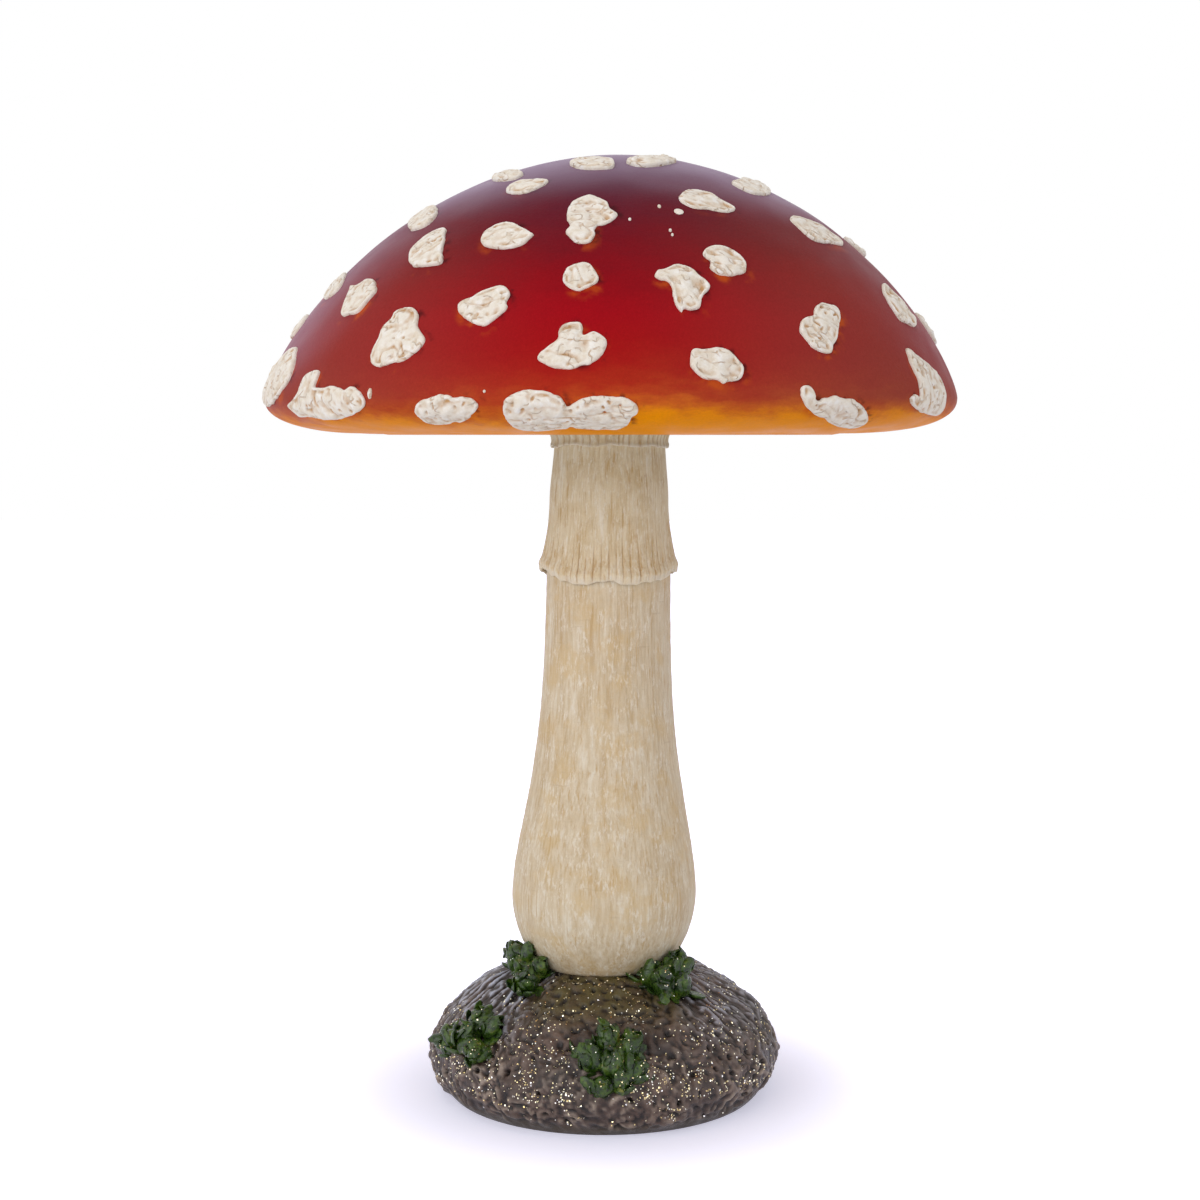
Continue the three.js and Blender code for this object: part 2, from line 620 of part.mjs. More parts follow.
function ballast() {
  const bottom = padThickness + glueGap * 2;
  const top = moundCavityHeight - glueGap;
  const outer = moundCavityRadius - glueGap;
  const outline = [
    [boreRadius, bottom],
    [outer, bottom],
    [outer, top],
    [boreRadius, top],
    [boreRadius, bottom],
  ];
  return turned(outline, moundFacets, leanBore(outline));
}

function pad() {
  return turned([[0, 0], [padRadius, 0], [padRadius, padThickness], [0, padThickness]], moundFacets);
}

function rod() {
  const bottom = padThickness + glueGap * 2;
  const top = capUndersideHeight + topTenonLength + rodTopCover;
  return turned([[0, bottom], [rodRadius, bottom], [rodRadius, top], [0, top]], rodFacets, leanStem);
}

// Stem: a bulb that fades into the stalk, which narrows again inside the skirt
function stemRadius(height) {
  if (height < bulbHeight) {
    const below = (bulbHeight - height) / bulbUnderside;
    return bulbRadius * Math.sqrt(Math.max(0, 1 - below * below));
  }
  const fade = Math.exp(-(((height - bulbHeight) / bulbFade) ** bulbFadePower));
  const stalk = waistRadius + (bulbRadius - waistRadius) * fade;
  const narrow = smoothStep(skirtHemHeight, neckEndHeight, height);
  return stalk + (neckRadius - waistRadius) * narrow;
}

function stemSkin(grow) {
  const heights = [
    ...steps(moundSeatHeight + glueGap, bulbHeight, stemBulbRows),
    ...steps(bulbHeight, skirtHemHeight, stemStalkRows).slice(1),
    ...steps(skirtHemHeight, neckEndHeight, stemNeckRows).slice(1),
    capUndersideHeight,
  ];
  return heights.map((height) => [stemRadius(height) + grow, height]);
}

function stemBody() {
  const foot = moundSeatHeight - footTenonLength;
  const top = capUndersideHeight + topTenonLength;
  return turned([
    [boreRadius, foot],
    [tenonRadius, foot],
    [tenonRadius, moundSeatHeight + glueGap],
    ...stemSkin(0),
    [tenonRadius, capUndersideHeight],
    [tenonRadius, top],
    [boreRadius, top],
    [boreRadius, foot],
  ], stemFacets, leanStem);
}

function stemCutter() {
  const skinLine = stemSkin(glueGap);
  return solidOf(turned([
    [0, skinLine[0][1]],
    ...skinLine,
    [0, capUndersideHeight],
  ], stemFacets, leanStem));
}

// Skirt: a sleeve that flares to a scalloped hem. Each station along the hem is
// [azimuth, how far its edge lies above the hem's height, how far it stands out].
const hemStations = [
  [-180, -0.5, 0.2], [-150, 0.8, -0.4], [-118, -0.4, 0], [-92, 2.2, 0.2], [-74, 3.6, -0.8],
  [-56, 1, -1], [-42, -0.9, -0.8], [-24, -2.2, -0.6], [0, -0.4, -1], [17, -2.2, -0.6],
  [40, -1.1, -0.8], [57, -0.4, -1], [72, 2.2, -0.6], [92, 1.6, 0.3], [122, -0.6, 0],
  [152, 0.6, -0.5], [180, -0.5, 0.2],
];

function hemAt(azimuth) {
  const turns = azimuth / (2 * Math.PI) + 0.5;
  const degrees = (turns - Math.floor(turns)) * 360 - 180;
  const next = hemStations.findIndex((station) => station[0] > degrees);
  const [from, to] = [hemStations[next - 1], hemStations[next]];
  const share = smoothStep(from[0], to[0], degrees);
  return {
    rise: from[1] + (to[1] - from[1]) * share,
    stand: from[2] + (to[2] - from[2]) * share,
  };
}

function skirtOuterRadius(height) {
  const upper = smoothStep(skirtTopHeight, skirtWaistHeight, height);
  const tube = skirtTopRadius + (skirtWaistRadius - skirtTopRadius) * upper;
  const drop = Math.max(0, skirtWaistHeight - height) / (skirtWaistHeight - skirtHemHeight);
  return tube + (skirtHemRadius - skirtWaistRadius) * drop ** skirtFlarePower;
}

function skirtInnerRadius(height) {
  const hanging = skirtOuterRadius(height) - skirtHemThickness;
  const seated = stemRadius(height) + glueGap;
  return seated + (hanging - seated) * smoothStep(neckEndHeight, skirtHemHeight, height);
}

function skirt() {
  const flare = steps(skirtHemHeight, skirtWaistHeight, skirtFlareRows);
  const tube = steps(skirtWaistHeight, skirtTopHeight, skirtTubeRows).slice(1);
  const seat = steps(neckEndHeight, skirtHemHeight, skirtFlareRows);
  const outside = [...flare, ...tube].map((height) => [skirtOuterRadius(height), height]);
  const inside = [skirtTopHeight, ...seat].map((height) => [skirtInnerRadius(height), height]);
  const outline = [...outside, ...inside, outside[0]];
  return turned(outline, stemFacets, (vertex, azimuth) => {
    const low = 1 - smoothStep(skirtHemHeight, skirtWaistHeight, vertex.z);
    const hem = hemAt(azimuth);
    const radius = Math.hypot(vertex.x, vertex.y);
    const grown = (radius + hem.stand * low) / radius;
    vertex.x *= grown;
    vertex.y *= grown;
    vertex.z += hem.rise * low;
    leanStem(vertex);
  });
}

// Collar: the torn edge that laps over the skirt's top and flares to meet the gills
function collar() {
  const bottom = capUndersideHeight - collarBottomDrop;
  const outer = collarInnerRadius + collarThickness;
  const top = capUndersideHeight + gillRise + gillDepth - glueGap;
  const neck = neckRadius + glueGap;
  const over = skirtTopHeight + glueGap + collarFit;
  const outline = [
    [collarInnerRadius, bottom],
    [outer, bottom],
    [outer, capUndersideHeight - collarFlareDrop],
    [outer + collarFlare, top],
    [neck, top],
    [neck, over],
    [collarInnerRadius, over],
    [collarInnerRadius, bottom],
  ];
  return turned(outline, stemFacets, (vertex, azimuth, index) => {
    const torn = outline[index][1] === bottom;
    if (torn) vertex.z += collarRag * Math.sin(azimuth * 3 + 1) * Math.cos(azimuth * 5);
    leanStem(vertex);
  });
}

// Moss: rosettes of overlapping leaf lumps, pressed onto the mound and the stem's foot.
// Each clump is [name, azimuth, distance from the axis, lumps], and each lump is
// [to the right, outward, up, radius], measured in leaf radii.
const mossClumps = [
  ['moss_front_left', -54, moundRadius - 7.8, [
    [0.3, 0.4, 0.5, 1.25], [-2.2, 0.6, 0.3, 1.1], [0.1, -0.9, 0.4, 1.1],
    [1.6, -0.8, 0.3, 0.8], [1.6, 0.5, 0.3, 1.1], [-0.8, 0.4, 0.4, 1.1],
  ]],
  ['moss_front', 2.5, moundRadius - 6, [
    [0.1, 0.1, 0.4, 1.3], [-1.5, -0.3, 0.3, 1.25], [1.7, 0.2, 0.3, 1.15],
    [1.4, -0.8, 0.4, 1.15], [-0.2, -1.2, 0.4, 1.1], [-0.8, 0.8, 0.2, 1], [0.7, 0.7, 0.2, 1],
  ]],
  ['moss_foot_left', -58, bulbRadius - 1.5, [
    [-0.5, -0.2, 0.8, 1.25], [-1.7, -0.3, 1.6, 1.1], [0.7, -0.5, 0.8, 1.05],
    [1.2, 0.7, 0.4, 1.15], [-0.5, -0.4, 1.6, 0.9],
  ]],
  ['moss_foot_right', 42, bulbRadius + 1.5, [
    [-0.5, -0.3, 0.6, 1.25], [-1, -1.2, 0.5, 0.9], [1.2, -0.6, 1.2, 1.2],
    [0.6, 0.4, 0.3, 1.15], [-0.8, 0.5, 0.2, 0.8],
  ]],
  ['moss_back', 172, moundRadius - 27.8, [
    [0, 0, 0.5, 1.35], [-1.2, 0, 0.3, 1.15], [1.2, 0.3, 0.2, 1.15],
    [0, 1.2, 0.2, 1.15], [0.1, -1.1, 0.7, 1.15],
  ]],
];

function mossClump(azimuthDegrees, distance, lumps) {
  const azimuth = radians(azimuthDegrees);
  const out = new THREE.Vector3(Math.sin(azimuth), -Math.cos(azimuth), 0);
  const right = new THREE.Vector3(Math.cos(azimuth), Math.sin(azimuth), 0);
  const solids = lumps.map((lump) => {
    const [toRight, outward, up, radius] = lump.map((share) => share * mossLeafRadius);
    const ball = new THREE.SphereGeometry(radius, mossFacets, mossRows);
    ball.deleteAttribute('normal');
    ball.deleteAttribute('uv');
    const middle = out.clone().multiplyScalar(distance + outward).addScaledVector(right, toRight);
    const ground = moundHeight(Math.hypot(middle.x, middle.y));
    ball.translate(middle.x, middle.y, ground + up);
    return solidOf(ball);
  });
  const joined = solids.reduce((whole, lump) => whole.add(lump));
  return joined.subtract(moundBlock).subtract(stemBlock);
}

// Assembly

const ornament = new THREE.Group();

function addPiece(parent, name, geometry, material) {
  const mesh = new THREE.Mesh(geometry, material);
  mesh.name = name;
  parent.add(mesh);
}

const capSkin = capCutter();
const moundBlock = moundCutter();
const stemBlock = stemCutter();

const baseGroup = new THREE.Group();
addPiece(baseGroup, 'base_mound', moundBody(), soilPaint);
addPiece(baseGroup, 'base_ballast', ballast(), mortar);
addPiece(baseGroup, 'base_pad', pad(), felt);
ornament.add(baseGroup);

const stemGroup = new THREE.Group();
addPiece(stemGroup, 'stem', stemBody(), stemPaint);
addPiece(stemGroup, 'reinforcing_rod', rod(), steel);
addPiece(stemGroup, 'skirt', skirt(), skirtPaint);
addPiece(stemGroup, 'neck_collar', collar(), skirtPaint);
ornament.add(stemGroup);

const capGroup = new THREE.Group();
addPiece(capGroup, 'cap_shell', capShell(), capPaint);
addPiece(capGroup, 'gill_plate', gillPlate(), gillPaint);
for (const [name, azimuth, heightShare, outline, middle = [0, 0]] of warts) {
  addPiece(capGroup, name, geometryOf(wart(azimuth, heightShare, outline, middle)), wartPaint);
}
ornament.add(capGroup);

const mossGroup = new THREE.Group();
for (const [name, azimuth, distance, lumps] of mossClumps) {
  addPiece(mossGroup, name, geometryOf(mossClump(azimuth, distance, lumps)), mossPaint);
}
ornament.add(mossGroup);

export default ornament;
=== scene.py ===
# %% [markdown]
# # Dressing a painted toadstool ornament
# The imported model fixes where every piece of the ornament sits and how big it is. This
# lesson gives those pieces their real surface: the airbrushed cap, the thick cream warts,
# the brushed stem, the torn skirt, the soil mound, the moss and the glitter. The model is
# loaded first and never moved, so each piece made here goes straight to its own place.

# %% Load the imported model
import itertools
import math

import bmesh
import bpy
import numpy as np
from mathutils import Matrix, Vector


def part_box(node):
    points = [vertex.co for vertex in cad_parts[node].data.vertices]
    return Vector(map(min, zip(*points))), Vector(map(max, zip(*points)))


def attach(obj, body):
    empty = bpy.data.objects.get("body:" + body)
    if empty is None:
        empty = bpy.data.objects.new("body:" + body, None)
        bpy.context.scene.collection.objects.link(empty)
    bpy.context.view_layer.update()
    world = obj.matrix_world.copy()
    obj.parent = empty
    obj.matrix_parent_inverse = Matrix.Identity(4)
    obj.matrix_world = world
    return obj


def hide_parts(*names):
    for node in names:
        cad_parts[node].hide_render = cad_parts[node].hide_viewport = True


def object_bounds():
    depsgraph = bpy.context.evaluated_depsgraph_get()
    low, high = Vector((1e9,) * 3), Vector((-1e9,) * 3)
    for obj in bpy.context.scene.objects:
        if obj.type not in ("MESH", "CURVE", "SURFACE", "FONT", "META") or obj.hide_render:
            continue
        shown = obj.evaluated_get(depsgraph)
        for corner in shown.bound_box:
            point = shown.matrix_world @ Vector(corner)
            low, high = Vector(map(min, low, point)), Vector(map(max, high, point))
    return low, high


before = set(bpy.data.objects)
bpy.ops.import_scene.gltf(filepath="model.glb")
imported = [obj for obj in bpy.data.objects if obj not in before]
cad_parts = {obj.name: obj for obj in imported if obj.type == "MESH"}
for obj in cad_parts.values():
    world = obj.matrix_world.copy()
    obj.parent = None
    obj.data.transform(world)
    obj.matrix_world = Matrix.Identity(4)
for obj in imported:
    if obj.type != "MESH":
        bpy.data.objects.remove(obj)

cad_low, cad_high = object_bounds()
print("pieces in the model:", len(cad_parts))
print("box of the model in metres:", [round(side, 4) for side in cad_high - cad_low])

# %% [markdown]
# ## The camera
# The picture was taken from about 0.9 m with a short telephoto lens, level with the cap's
# lower edge and tipped down a little. Fitting the silhouettes of the cap, stem and mound
# gave these values. The camera comes first, so that every later step can be judged in it.
# Lengths are written in millimetres, because that is how a maker measures an ornament.

# %% Place the camera
MM = 0.001
camera_place = (-1.5, -894.35, 290.76)
camera_dip = 4.635
camera_lens = 60.94

scene = bpy.context.scene
camera = bpy.data.objects.new("camera", bpy.data.cameras.new("camera"))
scene.collection.objects.link(camera)
scene.camera = camera
camera.location = Vector(camera_place) * MM
camera.rotation_euler = (math.radians(90 - camera_dip), 0, 0)
camera.data.lens = camera_lens
camera.data.sensor_width = 36
camera.data.clip_start = 0.01
camera.data.clip_end = 100
scene.view_settings.view_transform = "Standard"
print("camera at", tuple(round(value, 4) for value in camera.location))

# %% [markdown]
# ## Short words for node trees
# A finish is a tree of nodes. Written out link by link it is hard to read, so this small
# class gives each kind of node that the ornament uses one short call. A value handed to a
# call may be a number, a colour, or the output of an earlier node. A sign such as + or *
# between two outputs places a Math node.

# %% A helper for node trees
def srgb(red, green, blue):
    """A colour as a paint program shows it, 0 to 255, in the linear values that nodes use."""
    parts = [value / 255 for value in (red, green, blue)]
    return tuple(p / 12.92 if p <= 0.04045 else ((p + 0.055) / 1.055) ** 2.4 for p in parts) + (1,)


def fill_in(socket, value):
    """Joins an output to a socket, or sets a plain value on it."""
    if isinstance(value, Output):
        value.join(socket)
    else:
        socket.default_value = value


def operator(operation, turned=False):
    """A method that places a Math node for a sign such as + between two outputs."""
    def place_node(self, other):
        pair = (other, self) if turned else (self, other)
        return self.finish.math(operation, *pair)
    return place_node


class Output:
    """A node's output, which can be added, subtracted, multiplied and divided."""

    __add__ = __radd__ = operator("ADD")
    __mul__ = __rmul__ = operator("MULTIPLY")
    __sub__, __rsub__ = operator("SUBTRACT"), operator("SUBTRACT", turned=True)
    __truediv__, __rtruediv__ = operator("DIVIDE"), operator("DIVIDE", turned=True)

    def __init__(self, finish, socket):
        self.finish, self.socket = finish, socket

    def join(self, socket):
        self.finish.tree.links.new(self.socket, socket)


class Finish:
    """Adds nodes to one tree. Most calls return the output of the node that they add."""

    def __init__(self, tree):
        self.tree = tree

    def node(self, kind, values, **settings):
        made = self.tree.nodes.new(kind)
        for name, setting in settings.items():
            setattr(made, name, setting)
        for name, value in values.items():
            fill_in(made.inputs[name], value)
        return made

    def outputs(self, made):
        """A node's outputs by their names."""
        return {socket.name: Output(self, socket) for socket in made.outputs}

    def out(self, kind, values, output=0, **settings):
        return Output(self, self.node(kind, values, **settings).outputs[output])

    def math(self, operation, *values, clamp=False):
        return self.out("ShaderNodeMath", dict(enumerate(values)), operation=operation, use_clamp=clamp)

    def mix(self, share, first, second):
        values = {"Factor": share, 6: first, 7: second}
        return self.out("ShaderNodeMix", values, 2, data_type="RGBA")

    def coats(self, colour, *coats):
        """The colour under coats of paint. Each is a share and a colour, the lowest one first."""
        for share, coat in coats:
            colour = self.mix(share, colour, srgb(*coat))
        return colour

    def spread(self, value, low, high, to_low=0.0, to_high=1.0):
        """The value's place between low and high, eased, as a number from to_low to to_high."""
        values = {"Value": value, "From Min": low, "From Max": high, "To Min": to_low, "To Max": to_high}
        return self.out("ShaderNodeMapRange", values, interpolation_type="SMOOTHSTEP")

    def noise(self, place, size, detail=2.0, roughness=0.5):
        """Random values about 0.5 with blotches of that size in millimetres."""
        values = {"Vector": place, "Scale": 1 / size, "Detail": detail, "Roughness": roughness}
        return self.out("ShaderNodeTexNoise", values)

    def patches(self, place, size, detail, low, high, to_low=0.0, to_high=1.0):
        """Blotches of that size, spread from one level to another."""
        return self.spread(self.noise(place, size, detail), low, high, to_low, to_high)

    def stretch(self, place, scale):
        values = {"Vector": place, "Scale": scale}
        return self.out("ShaderNodeMapping", values)

    def ramp(self, value, stops, ease="EASE"):
        """A blend of colours. Each stop is a position with a red, a green and a blue."""
        made = self.node("ShaderNodeValToRGB", {"Fac": value})
        made.color_ramp.interpolation = ease
        elements = made.color_ramp.elements
        while len(elements) < len(stops):
            elements.new(1.0)
        for element, (position, *colour) in zip(elements, stops):
            element.position = position
            element.color = srgb(*colour)
        return Output(self, made.outputs[0])

    def split(self, place):
        return self.outputs(self.node("ShaderNodeSeparateXYZ", {"Vector": place}))

    def attribute(self, name):
        return self.out("ShaderNodeAttribute", {}, "Fac", attribute_name=name)

    def bump(self, height, distance):
        """A normal that follows fine relief of that depth in millimetres."""
        return self.out("ShaderNodeBump", {"Height": height, "Distance": distance * MM, "Strength": 1.0})

    def group(self, name, **values):
        """A shared effect, placed with this finish's own values."""
        made = self.tree.nodes.new("ShaderNodeGroup")
        made.node_tree = bpy.data.node_groups[name]
        for key, value in values.items():
            fill_in(made.inputs[key], value)
        return Output(self, made.outputs[0])

    def streaks(self, place, width, stretch):
        return self.group("dry brush", Place=place, Width=width, Stretch=stretch)

    def wash_and_shade_hollows(self, colour, wash, depth, amount):
        return self.group("hollow wash and shade", Colour=colour, Wash=srgb(*wash), Depth=depth, Amount=amount)

    def speckled(self, colour, place, size, contrast):
        """The colour, lighter and darker from speck to speck."""
        level = self.group("speckle", Place=place, Size=size, Contrast=contrast)
        return self.scaled(colour, level)

    def scaled(self, vector, factor):
        values = {0: vector, "Scale": factor}
        return self.out("ShaderNodeVectorMath", values, operation="SCALE")


def new_finish(name):
    """A material with an empty tree, its Principled BSDF, and points in millimetres."""
    material = bpy.data.materials.new(name)
    material.use_nodes = True
    finish = Finish(material.node_tree)
    shader = material.node_tree.nodes["Principled BSDF"]
    points = finish.out("ShaderNodeTexCoord", {}, "Object")
    return material, finish, shader, finish.scaled(points, 1 / MM)


def paint(shader, sockets, **constants):
    """Joins node outputs to the shader and sets what is the same all over on its sockets."""
    for name, output in sockets.items():
        output.join(shader.inputs[name])
    for name, value in constants.items():
        shader.inputs[name.replace("_", " ")].default_value = value


print("node helper ready")

# %% [markdown]
# ## Studio light
# The picture is a bright product shot on white: large soft lamps on both sides, a little
# more from the left, and white paper all round that also shows in the glossy paint. Big
# area lamps give the soft shading. The world is white only where a camera, glossy or
# transmission ray meets it, so the background is white without pouring light on the piece.

# %% Light the studio
world_level = 0.6
lamp_size = 1.5


def sees_background(finish):
    """1 for the rays that look at the background: camera, glossy and transmission rays."""
    path = finish.outputs(finish.node("ShaderNodeLightPath", {}))
    shiny = finish.math("MAXIMUM", path["Is Glossy Ray"], path["Is Transmission Ray"])
    return finish.math("MAXIMUM", path["Is Camera Ray"], shiny)


world = bpy.data.worlds.new("white studio")
scene.world = world
world.use_nodes = True
world.node_tree.nodes.clear()
studio = Finish(world.node_tree)
fill = studio.out("ShaderNodeBackground", {"Color": srgb(250, 250, 255), "Strength": world_level})
white = studio.out("ShaderNodeBackground", {"Color": (1, 1, 1, 1), "Strength": 1.0})
either = studio.out("ShaderNodeMixShader", {0: sees_background(studio), 1: fill, 2: white})
studio.node("ShaderNodeOutputWorld", {"Surface": either})


def soft_lamp(name, place, power):
    """A large square lamp that faces the middle of the ornament."""
    lamp = bpy.data.objects.new(name, bpy.data.lights.new(name, "AREA"))
    scene.collection.objects.link(lamp)
    lamp.data.shape = "SQUARE"
    lamp.data.size = lamp_size
    lamp.data.energy = power
    lamp.location = place
    middle = (cad_low + cad_high) / 2
    lamp.rotation_euler = (middle - lamp.location).to_track_quat("-Z", "Y").to_euler()
    print(name, "at", [round(value, 2) for value in lamp.location], power, "W")


soft_lamp("left lamp", Vector((-1.1, -1.35, 0.55)), 12.3)
soft_lamp("right lamp", Vector((1.3, -1.15, 0.5)), 4.0)
soft_lamp("top lamp", Vector((-0.2, 0.2, 1.8)), 5.0)

# %% [markdown]
# ## The table top
# A wide pale sheet. Its own colour is a plain pale grey that the lamps light to nearly
# white. An extra glow, seen only by background rays, grows with the distance from the
# ornament: the open sheet is white, and the shadow close to the mound stays a faint
# lavender, as in the picture.

# %% Lay the table top
table_half = 6.0
table = bpy.data.objects.new("table_top", bpy.data.meshes.new("table_top"))
corners = [(-table_half, -table_half, 0), (table_half, -table_half, 0), (table_half, table_half, 0),
           (-table_half, table_half, 0)]
table.data.from_pydata(corners, [], [(0, 1, 2, 3)])
scene.collection.objects.link(table)
sheet = bpy.data.materials.new("pale sheet")
sheet.use_nodes = True
sheet.node_tree.nodes.clear()
paper = Finish(sheet.node_tree)
matt = paper.out("ShaderNodeBsdfDiffuse", {"Color": srgb(232, 232, 236)})
sheet_points = paper.out("ShaderNodeTexCoord", {}, "Object")
away = paper.out("ShaderNodeVectorMath", {0: sheet_points}, "Value", operation="LENGTH")
glow_level = sees_background(paper) * paper.spread(away, 0.075, 0.17, 0.46, 1.0)
glow = paper.out("ShaderNodeEmission", {"Color": srgb(234, 233, 255), "Strength": glow_level})
both = paper.out("ShaderNodeAddShader", {0: matt, 1: glow})
paper.node("ShaderNodeOutputMaterial", {"Surface": both})
table.data.materials.append(sheet)
print("table top is", 2 * table_half, "m across")

# %% [markdown]
# ## Making meshes from rules
# Nearly every piece of the ornament is turned round the stem: cap, stem, skirt, collar and
# mound. One function turns a grid of points into a closed skin. Roughness that a mould or
# a brush leaves comes from a smooth random function that gives the same values each run.

# %% Helpers for points and meshes
def smooth_step(low, high, value):
    share = np.clip((value - low) / (high - low), 0, 1)
    return share * share * (3 - 2 * share)


def lattice_value(key, seed):
    """A random number from -1 to 1 for each whole-number corner, the same on each run."""
    mixed = key[..., 0] * 374761393 + key[..., 1] * 668265263 + key[..., 2] * 2147483647
    mixed = (mixed + seed * 144665) & 0xFFFFFFFF
    mixed = ((mixed ^ (mixed >> 13)) * 1274126177) & 0xFFFFFFFF
    return ((mixed ^ (mixed >> 16)) & 0xFFFF) / 32767.5 - 1


def noise(points, size, seed=0):
    """Smooth random values from -1 to 1, with bumps about that size apart."""
    cell = np.asarray(points, dtype=float) / size
    low = np.floor(cell).astype(np.int64)
    part = cell - low
    ease = part**3 * (part * (part * 6 - 15) + 10)
    total = np.zeros(cell.shape[:-1])
    for corner in itertools.product((0, 1), repeat=3):
        weight = np.prod(np.where(corner, ease, 1 - ease), axis=-1)
        total += lattice_value(low + corner, seed) * weight
    return total


def bend(points, reach, size, seed):
    """Points pushed about by noise, so that a pattern read at them is crooked."""
    return points + reach * np.stack([noise(points, size, seed=seed + axis) for axis in range(3)],
                                     axis=-1)


def nearest_cells(points, size, seed=0):
    """Distances, in cell sizes, to the nearest and second nearest of scattered points."""
    cell = np.asarray(points, dtype=float) / size
    low = np.floor(cell).astype(np.int64)
    first = np.full(cell.shape[:-1], 9.0)
    second = first.copy()
    for corner in itertools.product((-1, 0, 1), repeat=3):
        key = low + corner
        jitter = np.stack([lattice_value(key, seed + axis) for axis in range(3)], axis=-1)
        away = np.linalg.norm(key + 0.5 + jitter * 0.4 - cell, axis=-1)
        second = np.minimum(second, np.maximum(first, away))
        first = np.minimum(first, away)
    return first, second


def on_ring(radius, height, azimuth):
    """Points at a radius, height and azimuth. Azimuth 0 is the front and +X is to the right."""
    radius, height, azimuth = np.broadcast_arrays(radius, height, azimuth)
    return np.stack([radius * np.sin(azimuth), -radius * np.cos(azimuth), height], axis=-1)


def all_round(columns):
    """Evenly spaced azimuths all round the stem."""
    return np.arange(columns) * 2 * math.pi / columns


def turned_faces(rows, columns, closes):
    """Quads over a grid whose columns go round the axis. The rows may close on themselves."""
    row, column = np.meshgrid(np.arange(rows if closes else rows - 1), np.arange(columns), indexing="ij")
    below = (row + 1) % rows
    beside = (column + 1) % columns
    corners = [row * columns + column, below * columns + column, below * columns + beside,
               row * columns + beside]
    return np.stack(corners, axis=-1).reshape(-1, 4).tolist()


def make_piece(name, points, faces, material, slot, replaced=(), attributes=None, crease=60):
    """A finished piece from points in millimetres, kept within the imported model's box."""
    mesh = bpy.data.meshes.new(name)
    kept = np.clip(np.asarray(points, dtype=float).reshape(-1, 3) * MM, cad_low, cad_high)
    mesh.from_pydata(kept, [], faces)
    mesh.validate()
    for key, values in (attributes or {}).items():
        layer = mesh.attributes.new(key, "FLOAT", "POINT")
        layer.data.foreach_set("value", np.asarray(values, dtype=np.float32).ravel())
    mesh.shade_smooth()
    mesh.set_sharp_from_angle(angle=math.radians(crease))
    mesh.materials.append(material)
    piece = bpy.data.objects.new(name, mesh)
    scene.collection.objects.link(piece)
    hand_over(piece, replaced)
    return piece


def make_turned(name, grid, *settings):
    """A piece from rings of points that go down outside and come up again inside."""
    return make_piece(name, grid, turned_faces(*grid.shape[:2], closes=True), *settings)


def on_first_rows(grid, *parts):
    """A value for each point of a grid: known on its first rows and zero on the others."""
    known = np.concatenate(parts)
    return np.concatenate([known, np.zeros((len(grid) - len(known), grid.shape[1]))])


def hand_over(piece, replaced=()):
    """Hangs a piece on the root body's empty and hides the model's pieces that it stands for."""
    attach(piece, "root")
    if replaced:
        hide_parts(*replaced)
    print(f"{piece.name}: {len(piece.data.polygons)} faces")


print("mesh helpers ready")

# %% [markdown]
# ## Effects that several paints share
# The painter used the same few tricks all over: a dry brush that leaves long streaks, a
# thin dark wash that stays in the hollows, and a fine uneven speckle. On the soil and the
# moss the hollow mix is painted shade in the creases instead of a wash. Each is a node
# group with named inputs, built once and placed in each paint with its own values.

# %% Build the shared effects
effect_kinds = {"Place": "Vector", "Colour": "Color", "Wash": "Color"}


def new_effect(name, inputs, output):
    """An empty shader node group with these named inputs and one named output."""
    tree = bpy.data.node_groups.new(name, "ShaderNodeTree")
    for label, direction in [(label, "INPUT") for label in inputs] + [(output, "OUTPUT")]:
        kind = "NodeSocket" + effect_kinds.get(label, "Float")
        tree.interface.new_socket(label, in_out=direction, socket_type=kind)
    finish = Finish(tree)
    return finish, finish.outputs(finish.node("NodeGroupInput", {}))


def end_effect(finish, output):
    """Ends the tree with its one output."""
    output.join(finish.node("NodeGroupOutput", {}).inputs[0])
    print("effect:", finish.tree.name)


effect, given = new_effect("dry brush", ["Place", "Width", "Stretch"], "Streaks")
lengthened = effect.out("ShaderNodeCombineXYZ", {"X": 1.0, "Y": 1.0, "Z": given["Stretch"]})
strokes = effect.out("ShaderNodeVectorMath", {0: given["Place"], 1: lengthened}, operation="DIVIDE")
per_width = 1.0 / given["Width"]
fine = effect.out("ShaderNodeTexNoise",
                  {"Vector": strokes, "Scale": per_width, "Detail": 4.0, "Roughness": 0.6})
end_effect(effect, effect.spread(fine, 0.3, 0.7))

effect, given = new_effect("hollow wash and shade", ["Colour", "Wash", "Depth", "Amount"], "Colour")
held = effect.math("MULTIPLY", given["Depth"], given["Amount"], clamp=True)
end_effect(effect, effect.mix(held, given["Colour"], given["Wash"]))

effect, given = new_effect("speckle", ["Place", "Size", "Contrast"], "Level")
per_size = 1.0 / given["Size"]
grain = effect.out("ShaderNodeTexNoise",
                   {"Vector": given["Place"], "Scale": per_size, "Detail": 3.0, "Roughness": 0.7})
offset = (grain - 0.5) * given["Contrast"]
end_effect(effect, 1.0 + offset)

# %% [markdown]
# ## The shape of the cap
# The cap is a hollow casting. Its outline has two curves, the dome and the rolled rim,
# which the model fixes by its box, so the same rule is written here with the sizes read
# from that box. Everything on the cap is placed by an azimuth and a distance along the skin
# from the crown, which keeps a wart's true size wherever it sits.

# %% Rules for the cap's skin
cap_low, cap_high = (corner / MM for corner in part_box("cap_shell"))
cap_radius = (cap_high.x - cap_low.x) / 2
cap_level = cap_low.z
cap_height = cap_high.z - cap_level
rim_roll = 15.6
rim_flat_radius = 100.3
dome_fullness = 1.35
rim_fullness = 2.4
cap_top_shift = 2.8
stem_lean = 0.012
cap_wall = 5.0
cap_lip = 3.5
mound_low, mound_high = (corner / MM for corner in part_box("base_mound"))
seat_level = mound_high.z
cap_shift = stem_lean * (cap_level - seat_level)


